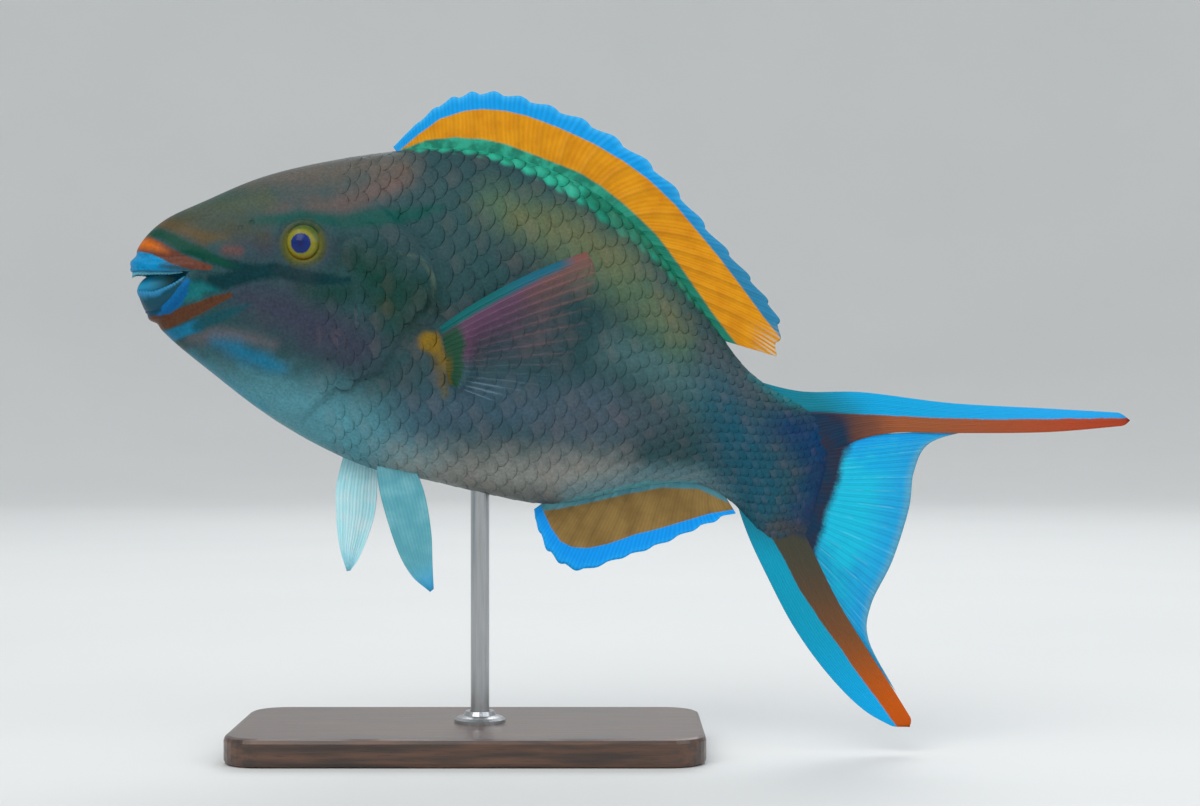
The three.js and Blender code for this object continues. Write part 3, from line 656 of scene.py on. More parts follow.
# %% [markdown]
# ## Skin and scale finish
# The real skin is wet and satin, with colour grains far smaller than a scale. The finish
# starts from the flank's colour and lays each marking over it, its edge shaken by noise.
# Scales have a lighter middle and a rim that is a little darker, some are warmer than the
# rest, and in the green band their middles are so light that they look like beads.

# %% Skin finish
GLOSS = {"Coat Weight": 0.06, "Coat Roughness": 0.2, "Specular IOR Level": 0.07}


def skin_finish(name, scaled):
    """Every marking over the flank's colour, then rose blotches and grain. A marking shows
    by a smooth step of its distance, shaken by noise. Scales also use each point's nearness
    to the scale's middle, core, and to its rim, and one random number a scale, tint."""
    finish = Finish(name)
    shake = finish.noise(160, 4) - 0.5
    grain = finish.noise(900, 3) - 0.5
    core = finish.field("core") if scaled else None
    markings = []
    for marking, (shade, softness, strength, _) in MARKINGS.items():
        ragged = finish.field(marking) + shake * (0.5 * softness + 0.3) + grain * 0.8
        if marking == "green_band" and scaled:
            ragged = ragged + 1.2 - core * 2.4
        markings.append((finish.fade(ragged, 0.5 * softness, -0.5 * softness) * strength, shade))
    blotch = finish.fade(finish.noise(55, 5), 0.45, 0.75)
    colour = finish.coats(FLANK, *markings, (blotch * 0.12, (104, 80, 82)))
    colour = finish.shade(colour, grain * 0.9 + shake * 0.3 + 1.04)
    if scaled:
        rim, tint = finish.field("rim"), finish.field("tint")
        green = finish.fade(finish.field("green_band"), 1.5, -2.0)
        rear = finish.fade(finish.field("green_rear"), 4.0, -2.0)
        bead = core * green * (0.8 - rear * 0.6)
        warm = finish.fade(tint, 0.55, 1.0) * (core * 0.12 + 0.06)
        colour = finish.coats(colour, (bead, (60, 190, 160)), (warm, (118, 84, 78)))
        edge = finish.fade(rim + grain * 0.6, 1.5, 0.2)
        colour = finish.shade(colour, core * 0.12 - edge * 0.05 + tint * 0.1 + 0.92)
    else:
        lining = finish.coats((20, 84, 104), (finish.fade(shake, -0.1, 0.2), (44, 128, 142)))
        colour = finish.coats(colour, (finish.fade(finish.field("inside"), 0.02, 0.25), lining))
    return finish.surface(colour, grain * 0.2 + 0.42, grain * 0.2 + shake * 0.25, fixed=GLOSS)


skin_material = skin_finish("parrotfish_skin", scaled=False)
scale_material = skin_finish("parrotfish_scales", scaled=True)

# %% [markdown]
# ## One skin with a mouth
# The whole body is one mesh, so no seam shows. A mouth could be a dent in it, but its rim
# would run across the grid and look torn. Here the grid starts at the lips instead: its
# first row follows both lips and the corners, and later rows melt into the body's ovals.
# Ahead of that row the skin rolls over the lip by a quarter circle and runs back into the
# throat along a cubic curve.

# %% Skin
SKIN_ROWS, SKIN_COLUMNS = 292, 256
ROW_CROWDING = 1.3
BLEND_END = 0.32
LIP_ROLL, ROLL_ROWS = 0.9, 5
MOUTH_ROWS, LIP_DEPTH, THROAT = 20, 4.0, (-132.5, 0.0, 200.5)
LEG_STEPS, NEAR_RIDGE = 60, 0.8


def along_wall(path, count):
    """Evenly spaced t and turn down the left side, along a side-view line that ends on
    the back or belly line where it is told to."""
    legs = np.linspace(0, len(path) - 1, LEG_STEPS * (len(path) - 1) + 1)
    x, z = (np.interp(legs, np.arange(len(path)), column) for column in np.transpose(path))
    t, rise = locate(x, z)
    for end in (0, -1):
        if abs(rise[end]) > NEAR_RIDGE:
            rise[end] = np.sign(rise[end])
    turn = np.pi - np.arcsin(rise)
    spot = wall(t, turn)
    length = np.concatenate([[0], np.cumsum(np.linalg.norm(np.diff(spot, axis=0), axis=1))])
    even = np.linspace(0, length[-1], count)
    return np.interp(even, length, t), np.interp(even, length, turn)


# Lines along the body run from the lips, where they crowd, to the tail root
lip_t, lip_turn = along_wall([*UPPER_LIP, MOUTH_CORNER, *LOWER_LIP], SKIN_COLUMNS // 2 + 1)
lip_t = np.concatenate([lip_t, lip_t[-2:0:-1]])
lip_turn = np.concatenate([lip_turn, 3 * np.pi - lip_turn[-2:0:-1]])
advance = (np.linspace(0, 1, SKIN_ROWS) ** ROW_CROWDING)[:, None]
melt = step(advance, 0, BLEND_END)
skin_t = lip_t + (1 - lip_t) * advance
skin_turn = lip_turn + (np.pi / 2 + round_turns(SKIN_COLUMNS) - lip_turn) * melt
skin_points = flesh(skin_t, skin_turn)
skin_x, _, skin_z = oval(skin_t, skin_turn)

# The lip rolls inwards, square to the wall's normal
lip, lip_out = skin_points[0], wall_normal(skin_t[0], skin_turn[0])
inward = lip - skin_points[1]
inward -= lip_out * np.sum(inward * lip_out, axis=1, keepdims=True)
inward /= np.linalg.norm(inward, axis=1, keepdims=True)
roll = np.linspace(0, np.pi / 2, ROLL_ROWS + 1)[1:, None, None]
rolled = lip + LIP_ROLL * MM * (np.sin(roll) * inward - (1 - np.cos(roll)) * lip_out)

# From there a cubic curve with four guide points leads into the throat
throat = bend(*np.array(THROAT))
go = np.linspace(0, 1, MOUTH_ROWS + 2)[1:-1, None, None]
deep = rolled[-1] - lip_out * LIP_DEPTH * MM
near_throat = throat + (rolled[-1] - throat) * 0.5 - lip_out * LIP_DEPTH * MM
mouth = ((1 - go) ** 3 * rolled[-1] + 3 * go * (1 - go) ** 2 * deep
         + 3 * go ** 2 * (1 - go) * near_throat + go ** 3 * throat)
lining = np.concatenate([rolled, mouth])[::-1]
rows = np.concatenate([lining, skin_points])
points = np.concatenate([rows.reshape(-1, 3), [throat, rows[-1].mean(axis=0)]])


def with_lining(values, at_throat):
    """Numbers for all the skin's points: the lining has the lip's, and the two closing
    points have the throat's and the mean of the tail root's."""
    lips = np.repeat(values[:1], len(lining), axis=0)
    return np.append(np.concatenate([lips, values]).ravel(), [at_throat, values[-1].mean()])


depth = np.zeros(len(rows))
depth[:MOUTH_ROWS] = np.linspace(1, 0, MOUTH_ROWS + 1)[:-1]
inside = np.append(np.repeat(depth, SKIN_COLUMNS), [1.0, 0.0])
fields = marking_fields(with_lining(skin_x, THROAT[0]), with_lining(skin_z, THROAT[2]))
fields["inside"] = inside
faces = [grid_faces(len(rows), SKIN_COLUMNS), *end_fans(len(rows), SKIN_COLUMNS)]
skin = new_piece("skin", points, faces, fields)
settle(skin, skin_material, "skin", "head", "gill_cover_left", "gill_cover_right", "trunk",
       "tail_stem")

# %% [markdown]
# ## Eyes and nostrils
# A fish's eye is a flattened ball with a bulging clear front, set in a tight ring of
# skin. The ball is a surface of revolution about an axis that leans forward. The ring
# could be part of the skin, but its grid is too coarse there to be round, so the ring is
# a small closed torus of its own, sunk into the skin at its outer edge. Two smaller rings
# ahead of each eye are the nostrils.

# %% Eyes and nostrils
EYE_TURNS, EYE_RINGS = 72, 40
CORNEA_RADIUS, CORNEA_BULGE = 5.4, 0.9
# Profile of the lid: radius from the eye's middle and height over the skin, closed
LID_PROFILE = [(7.0, -2.6), (6.7, -1.0), (7.0, -0.2), (7.8, 0.2), (9.2, 0.3), (10.6, 0.0),
               (12.4, -0.6), (11.4, -1.8), (9.0, -3.2)]
NOSTRIL_PROFILE = [(0.35, -1.0), (0.45, -0.1), (0.8, 0.15), (1.2, 0.1), (2.0, -0.35), (1.6, -1.0)]


def closed_through(profile, count):
    """A smooth closed curve: the open one run past its ends and cut to one round."""
    wrapped = [*profile[-2:], *profile, *profile[:3]]
    span = len(wrapped) - 1
    shares = (2 + np.arange(count) * len(profile) / count) / span
    return through(wrapped, shares)


def eyeball(name, side):
    """A flattened ball turned about its axis: radius with the sine and depth with the
    cosine of the way from front to back, and a low bump for the clear front."""
    way = np.linspace(0, np.pi, EYE_RINGS + 2)[1:-1, None]
    turn = round_turns(EYE_TURNS)[None, :]
    radius = EYE_RADIUS * np.sin(way)
    bulge = CORNEA_BULGE * np.clip(1 - (radius / CORNEA_RADIUS) ** 2, 0, 1) ** 1.5 * (way < np.pi / 2)
    axial = side * (EYE_HALF_DEPTH * np.cos(way) + bulge)
    poles = side * np.array([EYE_HALF_DEPTH + CORNEA_BULGE, -EYE_HALF_DEPTH])
    x = np.append(radius * np.cos(turn), [0, 0])
    y = np.append(axial + 0 * turn, poles)
    z = np.append(radius * np.sin(turn), [0, 0])
    lean = side * EYE_FORWARD
    turned = np.stack([x * np.cos(lean) - y * np.sin(lean), x * np.sin(lean) + y * np.cos(lean), z], 1)
    points = turned * MM + bend(EYE_X, side * EYE_OUT, EYE_Z)
    faces = [grid_faces(EYE_RINGS, EYE_TURNS), *end_fans(EYE_RINGS, EYE_TURNS)]
    fields = {"radius": np.hypot(x, z), "low": -z - 0.5 * x}
    return new_piece(name, points, faces, fields)


def ring_on_skin(name, x, z, profile, side, turns=72, steps=28):
    """A torus round a place on the side: a closed profile of radius and height over the
    skin, carried round a circle of the side view and set down on the wall."""
    radius, height = closed_through(profile, steps).T
    turn = round_turns(turns)[:, None]
    ring_x, ring_z = x + radius * np.cos(turn), z + radius * np.sin(turn)
    t, rise = (value.reshape(ring_x.shape) for value in locate(ring_x, ring_z))
    round_body = np.pi - np.arcsin(rise) if side < 0 else np.arcsin(rise)
    points = wall(t, round_body) + wall_normal(t, round_body) * (height * MM)[None, :, None]
    faces = grid_faces(turns + 1, steps) % (turns * steps)
    fields = {**marking_fields(ring_x, ring_z), "inside": np.zeros(ring_x.shape)}
    return new_piece(name, points, [faces], fields)


def eye_finish():
    """A yellow iris with streaks, greener above, orange below and olive outwards, round a
    deep blue pupil, under a clear polish."""
    finish = Finish("parrotfish_eye")
    radius, low = finish.field("radius"), finish.field("low")
    streak = finish.noise(1500, 4) - 0.5
    below = finish.fade(low, 1.5, 6.5) * finish.fade(radius, 4.9, 6.2)
    above = finish.fade(low + streak, -3.6, -5.6) * finish.fade(radius, 5.0, 6.4)
    colour = finish.coats(
        (128, 124, 26),
        (finish.fade(radius + streak * 0.9, 5.4, 7.2), (84, 84, 26)),
        (below * 0.6, (134, 88, 28)),
        (finish.fade(streak, 0.02, 0.25) * 0.4, (92, 104, 34)),
        (above * 0.5, (44, 84, 22)),
        (finish.fade(radius + streak * 0.8, 4.5, 3.95), (0, 34, 106)),
        (finish.fade(radius, 3.0, 0.6) * 0.5, (2, 12, 58)))
    polish = {"Coat Weight": 0.25, "Coat Roughness": 0.04, "Specular IOR Level": 0.15}
    return finish.surface(colour, 0.4, streak * 0.1, fixed=polish)


eye_material = eye_finish()
for side_name, side in (("left", -1), ("right", 1)):
    eye = eyeball("eyeball_" + side_name, side)
    settle(eye, eye_material, "eye", "eye_" + side_name)
    lid = ring_on_skin("eyelid_" + side_name, EYE_X, EYE_Z, LID_PROFILE, side)
    settle(lid, skin_material, "skin")
    for number, (x, z) in enumerate(NOSTRILS):
        ring = ring_on_skin(f"nostril_{side_name}_{number}", x, z, NOSTRIL_PROFILE, side, 24, 14)
        settle(ring, skin_material, "skin")

# %% [markdown]
# ## The beak
# A parrotfish's teeth are fused into plates, like a beak, with small tooth tips still
# showing along the edge. Each plate follows the jaw from one corner round the front to
# the other. It is made as a closed profile carried along that path: up the outer face,
# over the cutting edge and down the inner face.

# %% Tooth plates
LOWER_RIM = [(-120.7, 202.4), (-124.9, 199.3), (-129.2, 196.9), (-133.4, 194.9), (-140.0, 194.6)]
LOWER_ROOT = [(-119.6, 200.0), (-123.0, 195.6), (-126.8, 190.8), (-131.2, 187.0), (-136.0, 185.4)]
UPPER_RIM = [(-121.5, 204.6), (-127.0, 203.9), (-136.7, 204.1), (-142.9, 205.2)]
UPPER_ROOT = [(-121.5, 207.6), (-127.0, 208.2), (-136.7, 209.4), (-141.6, 212.0)]
PLATE_COLUMNS, PLATE_STEPS, EDGE_STEPS = 150, 12, 7
TEETH_ALONG, TIP_RELIEF, TIP_REACH, TIP_START, REACH_START = 34, 0.06, 0.02, 0.8, 0.9
FACE_SWELL, ROOT_SINK, SINK_END, EDGE_REACH = 0.5, 0.9, 0.3, 0.09
CORNER_SLIM, LEAST_SLIM = 8, 0.02


def tooth_plate(name, rim, root, outer_inset, inner_inset, node, finish):
    """The outer face lies a little under the jaw's wall and bulges by a sine; the edge is
    a half circle between the two faces; tooth tips are a cosine along the edge. Towards
    the mouth's corners both faces close to their middle, by a high power of the way."""
    edges = []
    for line in (root, rim):
        t, turn = along_wall(line, PLATE_COLUMNS // 2 + 1)
        other = 3 * np.pi - turn[-2::-1] if turn[-1] > np.pi else np.pi - turn[-2::-1]
        edges.append((np.append(t, t[-2::-1]), np.append(turn, other)))
    (root_t, root_turn), (rim_t, rim_turn) = edges
    along = np.linspace(-1, 1, len(root_t))
    up = np.linspace(0, 1, PLATE_STEPS)
    over = np.linspace(0, np.pi, EDGE_STEPS + 2)[1:-1]
    share = np.concatenate([up, 1 + EDGE_REACH * np.sin(over), up[::-1]])
    middle, half_depth = (outer_inset + inner_inset) / 2, (inner_inset - outer_inset) / 2
    face = half_depth * np.concatenate([-np.ones(len(up)), -np.cos(over), np.ones(len(up))])
    outside = face < 0
    tips = np.cos(np.pi * TEETH_ALONG * along)[:, None]
    swell = FACE_SWELL * np.sin(np.pi * np.clip(share, 0, 1)) * outside
    sunk = ROOT_SINK * (1 - step(share, 0, SINK_END)) * outside
    off_middle = face - swell + sunk - TIP_RELIEF * tips * (share > TIP_START) * outside
    slim = np.sqrt(np.clip(1 - along[:, None] ** CORNER_SLIM, LEAST_SLIM, 1))
    reach = share * (1 + TIP_REACH * tips * (share > REACH_START))
    t = root_t[:, None] + (rim_t - root_t)[:, None] * reach
    turn = root_turn[:, None] + (rim_turn - root_turn)[:, None] * reach
    points = wall(t, turn, middle + off_middle * slim)
    fields = {"edge": np.clip(share, 0, 1.1) + 0 * t, "inner": (face > 0) + 0 * t, "tips": tips + 0 * t}
    plate = new_piece(name, points, [grid_faces(*t.shape), *end_faces(*t.shape)], fields)
    settle(plate, finish, "beak", node)


def beak_finish(name, root_shade, pale_edge_and_highlight, inner_shade, rim_start):
    """Glazed enamel: dark at the root and pale at the cutting edge, the pale edge partly the enamel's
    own and partly a painted highlight, with blue clouds and darker lines between the tooth tips."""
    finish = Finish(name)
    edge, inner, tips = finish.field("edge"), finish.field("inner"), finish.field("tips")
    cloud = finish.noise(300, 4) - 0.5
    pale = finish.fade(edge + cloud * 0.25, rim_start, 1.05)
    colour = finish.coats(
        root_shade,
        (inner, inner_shade),
        (finish.fade(cloud, 0.05, 0.3) * 0.3, (18, 84, 112)),
        (pale * 0.9, pale_edge_and_highlight),
        (finish.fade(tips, -0.6, -1.0) * pale * 0.4, (14, 60, 84)))
    polish = {"Coat Weight": 0.15, "Coat Roughness": 0.12, "Specular IOR Level": 0.15}
    return finish.surface(colour, cloud * 0.2 + 0.35, cloud * 0.3, fixed=polish)


# The second colour of each plate, its pale cutting edge, is partly a painted highlight.
lower_beak = beak_finish("lower_beak_enamel", (0, 66, 84), (40, 130, 178), (14, 100, 134), 0.72)
upper_beak = beak_finish("upper_beak_enamel", (10, 96, 132), (92, 170, 190), (16, 80, 104), 0.8)
tooth_plate("lower_tooth_plate", LOWER_RIM, LOWER_ROOT, 0.5, 3.0, "beak_lower", lower_beak)
tooth_plate("upper_tooth_plate", UPPER_RIM, UPPER_ROOT, 2.6, 4.0, "beak_upper", upper_beak)

# %% [markdown]
# ### The floor of the mouth
# It shows above the lower teeth, blue in front and greyer behind. It is a plain swelling:
# an ellipsoid, longer than wide, that climbs towards the throat. Its half width is cut
# down to the jaw's where needed, less a gap, so that it keeps inside the wall.

# %% Mouth floor
FLOOR_MIDDLE, FLOOR_HALF, FLOOR_CLIMB = (-130.0, 198.8), (10.6, 7.0, 6.8), 0.2
FLOOR_GAP = 2.8
FLOOR_ROWS, FLOOR_COLUMNS = 30, 48

way = np.linspace(0, np.pi, FLOOR_ROWS + 2)[1:-1, None]
turn = round_turns(FLOOR_COLUMNS)[None, :]
floor_x = FLOOR_MIDDLE[0] + FLOOR_HALF[0] * np.cos(way) + 0 * turn
climb = FLOOR_CLIMB * (floor_x - FLOOR_MIDDLE[0])
floor_z = FLOOR_MIDDLE[1] + climb + FLOOR_HALF[2] * np.sin(way) * np.sin(turn)
jaw_t, jaw_rise = (value.reshape(floor_x.shape) for value in locate(floor_x, floor_z))
_, jaw_half, _ = oval(jaw_t, np.arcsin(jaw_rise), FLOOR_GAP)
floor_half = np.minimum(FLOOR_HALF[1] * np.sin(way), np.maximum(jaw_half, LEAST_HALF))
points = bend(floor_x, floor_half * np.cos(turn), floor_z)
faces = [grid_faces(FLOOR_ROWS, FLOOR_COLUMNS), *end_faces(FLOOR_ROWS, FLOOR_COLUMNS)]
mouth_floor = new_piece("mouth_floor", points, faces, {"back": floor_x - FLOOR_MIDDLE[0]})

floor_skin = Finish("mouth_floor_skin")
mottle = floor_skin.noise(200, 4)
back = floor_skin.fade(floor_skin.field("back") + mottle * 6, -5, 8)
blue = floor_skin.coats((36, 142, 182), (back, (64, 112, 116)))
settle(mouth_floor, floor_skin.surface(blue, 0.4, mottle * 0.4, fixed=GLOSS), "skin")

# %% [markdown]
# ## Scales
# The body is clad in large round scales that overlap like roof tiles and show about ten
# millimetres of themselves; those of the gill cover are smaller, and the snout is bare.
# They could be painted or embossed, but then the outline would stay smooth, so each is a
# thin closed lens bent to the body. Their places are worked out column by column: the
# same number of rows shares out each oval's arc from back to belly.

# %% Scale places
ROWS_A_SIDE = 15
COLUMN_STATIONS = [0.2, 0.36, 0.47, 0.68, 0.86, 1.0]
COLUMN_PITCHES = [7.0, 7.4, 9.4, 9.2, 7.4, 4.6]
FIRST_T, LAST_T = 0.2, 0.992
STATION_STEPS, RING_STEPS, NEARLY = 1200, 400, 0.01
# Where scales lie on the side view, and how far they keep from the gill cover's edge, the
# eye and the stripe behind the mouth
NAPE_FRONT, NAPE_LOW = -58.0, 229
COVER_FRONT, COVER_REAR, COVER_BOTTOM, COVER_TOP = -66.0, -6.5, 152, 224
BELLY_FRONT, BELLY_TOP = -62.0, 150
THROAT_REAR, THROAT_TOP = -44.0, 164
BODY_GAP, EYE_GAP, STRIPE_GAP = 0.5, 19, 2
TUCK = 1.2


def column_pitch(t):
    """Millimetres from a scale to the next one behind it in its row."""
    return np.interp(t, COLUMN_STATIONS, COLUMN_PITCHES)


def scale_places():
    """Columns lie half a pitch apart along the side's middle, found by adding up the
    pitches passed. In a column the rows share out the oval's arc from back to belly, and
    every other column is half a row lower. Each place keeps its row's height. The right
    side mirrors the left one, but for the scales on the back's and the belly's ridge."""
    t = np.linspace(FIRST_T, LAST_T, STATION_STEPS)
    side = wall(t, np.full_like(t, np.pi))
    steps = np.linalg.norm(np.diff(side, axis=0), axis=1) / MM
    passed = np.concatenate([[0], np.cumsum(steps / column_pitch(t[1:]))])
    stations = np.interp(np.arange(0, passed[-1], 0.5), passed, t)
    turn = np.linspace(np.pi / 2, 1.5 * np.pi, RING_STEPS)
    columns = []
    for number, station in enumerate(stations):
        ring = wall(np.full_like(turn, station), turn)
        arc = np.concatenate([[0], np.cumsum(np.linalg.norm(np.diff(ring, axis=0), axis=1) / MM)])
        row = np.arange(0.5 * (number % 2), ROWS_A_SIDE + NEARLY)
        spots = np.interp(row / ROWS_A_SIDE * arc[-1], arc, turn)
        height = np.full_like(spots, arc[-1] / ROWS_A_SIDE)
        columns.append(np.stack([np.full_like(spots, station), spots, height], axis=1))
    left = np.concatenate(columns)
    on_ridge = np.minimum(left[:, 1] - np.pi / 2, 1.5 * np.pi - left[:, 1]) < NEARLY
    right = left[~on_ridge] * [1, -1, 1] + [0, 3 * np.pi, 0]
    return np.concatenate([left, right])


places = scale_places()
place_x, _, place_z = oval(places[:, 0], places[:, 1])
past_gill = behind_gill(place_x, place_z)
on_nape = (place_z > NAPE_LOW) & (place_x > NAPE_FRONT)
on_body = (past_gill > BODY_GAP) & ((place_z > THROAT_TOP) | (place_x > THROAT_REAR))
on_belly = (place_z < BELLY_TOP) & (place_x > BELLY_FRONT)
on_cover = (past_gill < COVER_REAR) & (place_x > COVER_FRONT) & ~on_nape
on_cover &= (place_z > COVER_BOTTOM) & (place_z < COVER_TOP)
on_cover &= np.hypot(place_x - EYE_X, place_z - EYE_Z) > EYE_GAP
on_cover &= band(place_x, place_z, MARKINGS["mouth_stripe"][3][0]) > STRIPE_GAP
on_trunk = (on_nape | on_body | on_belly) & ~on_cover
print(on_cover.sum(), "scales on the gill covers,", on_trunk.sum(), "on the trunk")

# %% Scale meshes
# Where the lines of a scale's grid lie, from its front to its rear and from side to side
CELLS = np.array([-1.0, -0.86, -0.3, 0.3, 0.86, 1.0])
SCALE_LENGTH, SCALE_WIDTH, SCALE_WOBBLE = 1.42, 1.2, 0.05
FRONT_LIFT, REAR_LIFT, CROWN, PLATE_THICK = -0.22, 0.2, 0.12, 0.2
RISE_POWER, RIM_FROM, RIM_THIN = 0.6, 0.93, 0.4
# Scales hardly stand on the head, fully behind it, and less again at the tail root
HEAD_STANDING, STANDING_FROM, STANDING_TO = 0.1, -75.0, 5.0
STEM_LYING, STEM_FROM, STEM_TO, ROOT_LYING, ROOT_FROM = 0.6, 0.8, 0.95, 0.8, 0.93
# A scale's lighter middle: how far back it lies, how it is squeezed, and where it fades
CORE_BACK, CORE_SHORT, CORE_NARROW, CORE_FROM, CORE_TO = 0.35, 1.3, 1.1, 0.1, 0.75
SCALE_STEPS = 0.002, 0.01
PATCH, TAIL_FROM = 0.0015, 0.72


def scale_pattern():
    """One scale: a square grid of cells pushed to a round outline, each coordinate shrunk
    by the root of one less half the other's square, and the same grid again below. The
    two share their border, so the scale is closed."""
    side = len(CELLS)
    u, v = np.meshgrid(CELLS, CELLS, indexing="ij")
    u, v = u * np.sqrt(1 - v ** 2 / 2), v * np.sqrt(1 - u ** 2 / 2)
    top = np.arange(side * side).reshape(side, side)
    bottom = top.copy()
    bottom[1:-1, 1:-1] = side * side + np.arange((side - 2) ** 2).reshape(side - 2, side - 2)
    quads = []
    for layer, order in ((top, 1), (bottom, -1)):
        corners = [layer[:-1, :-1], layer[:-1, 1:], layer[1:, 1:], layer[1:, :-1]]
        quads.append(np.stack(corners, -1).reshape(-1, 4)[:, ::order])
    u = np.append(u.ravel(), u[1:-1, 1:-1].ravel())
    v = np.append(v.ravel(), v[1:-1, 1:-1].ravel())
    under = np.append(np.zeros(side * side), np.ones((side - 2) ** 2))
    return u, v, under, np.concatenate(quads)


def clad(name, spots, past_from, past_to, seed):
    """Scales at places on the skin. Each is laid out in t and turn, so it follows the
    body, and lifted: sunk at its front, standing at its rear edge by a power of the way
    back, crowned across, and flatter on the head and at the tail root."""
    u, v, under, quads = scale_pattern()
    random = np.random.default_rng(seed)
    t0, turn0, row = spots[:, :1], spots[:, 1:2], spots[:, 2:]
    along, around = wall_steps(t0, turn0, *SCALE_STEPS)
    along = np.linalg.norm(along, axis=-1) / (2 * SCALE_STEPS[0] * MM)
    around = np.linalg.norm(around, axis=-1) / (2 * SCALE_STEPS[1] * MM)
    wobble = 1 + SCALE_WOBBLE * random.standard_normal((len(spots), 2))
    long = 0.5 * SCALE_LENGTH * column_pitch(t0) * wobble[:, :1]
    wide = 0.5 * SCALE_WIDTH * row * wobble[:, 1:]
    t = np.clip(t0 + u * long / np.maximum(along, 1), 0, 1)
    turn = turn0 + v * wide / np.maximum(around, 1)
    reach = np.hypot(u, v)
    place, _, _ = oval(t0, turn0)
    standing = HEAD_STANDING + (1 - HEAD_STANDING) * step(place, STANDING_FROM, STANDING_TO)
    lying = STEM_LYING * step(t0, STEM_FROM, STEM_TO) + ROOT_LYING * step(t0, ROOT_FROM, 1.0)
    standing = standing * (1 - lying)
    rise = REAR_LIFT * (0.5 + 0.5 * standing) - FRONT_LIFT
    lift = FRONT_LIFT + rise * ((u + 1) / 2) ** RISE_POWER + CROWN * standing * (1 - v ** 2)
    lift = lift - PLATE_THICK * (under + (1 - under) * step(reach, RIM_FROM, 1.0) * RIM_THIN)
    points = flesh(t, turn, lift, past_from, past_to)
    x, _, z = oval(t, turn)
    tint = np.repeat(random.random((len(spots), 1)), len(u), axis=1)
    off_core = np.hypot((u - CORE_BACK) * CORE_SHORT, v * CORE_NARROW)
    core = 1 - step(off_core, CORE_FROM, CORE_TO) + 0 * t
    rim = np.where(u > 0, (1 - reach), 1.0) * 0.5 * row
    patch = np.stack([t0 + PATCH * u, turn0 / (2 * np.pi) + PATCH * v], axis=-1)
    numbers = (np.arange(len(spots)) * len(u))[:, None, None] + quads
    fields = {**marking_fields(x, z), "tint": tint, "core": core, "rim": rim}
    piece = new_piece(name, points, [numbers.reshape(-1, 4)], fields, patch)
    settle(piece, scale_material, "skin")


rear = places[:, 0] > TAIL_FROM
left_side = places[:, 1] < 1.5 * np.pi
clad("cheek_scales", places[on_cover], -FAR, -TUCK, 1)
for name, chosen, seed in (("left_flank_scales", on_trunk & ~rear & left_side, 2),
                           ("right_flank_scales", on_trunk & ~rear & ~left_side, 3),
                           ("tail_scales", on_trunk & rear, 4)):
    clad(name, places[chosen], TUCK, FAR, seed)

# %% [markdown]
# ## Fins
# A fin is a thin membrane stretched over rays. It could be a flat sheet with a thickness,
# but then nothing would carry the rays. It is worked out between two lines, its root and
# its free edge, with a left and a right face. Rays are raised ridges, a power of a cosine,
# that split in two towards the edge, and the membrane sags between their tips.

# %% Fin surface
RAY_SHARPNESS, SPLIT_FROM, SPLIT_TO, SPLIT_SHARE = 5.0, 0.35, 0.8, 0.8
RAY_FADE, RIPPLE_PITCH, RIPPLE_START, THINNING_POWER = 0.6, 0.23, 1.0, 0.8
CREST_PLACE, CREST_FROM, CREST_TO = 0.7, 0.04, 0.3
END_ACROSS, END_LENGTHWISE, LEAST_OPEN = 0.02, 0.05, 0.08


def ray_ridges(phase, share):
    """1 on a ray and 0 between: a cosine raised to a power. Towards the edge the rays
    give way to twice as many."""
    single = (0.5 + 0.5 * np.cos(2 * np.pi * phase)) ** RAY_SHARPNESS
    double = (0.5 + 0.5 * np.cos(4 * np.pi * phase)) ** RAY_SHARPNESS
    split = step(share, SPLIT_FROM, SPLIT_TO)
    return single * (1 - SPLIT_SHARE * split) + double * SPLIT_SHARE * split


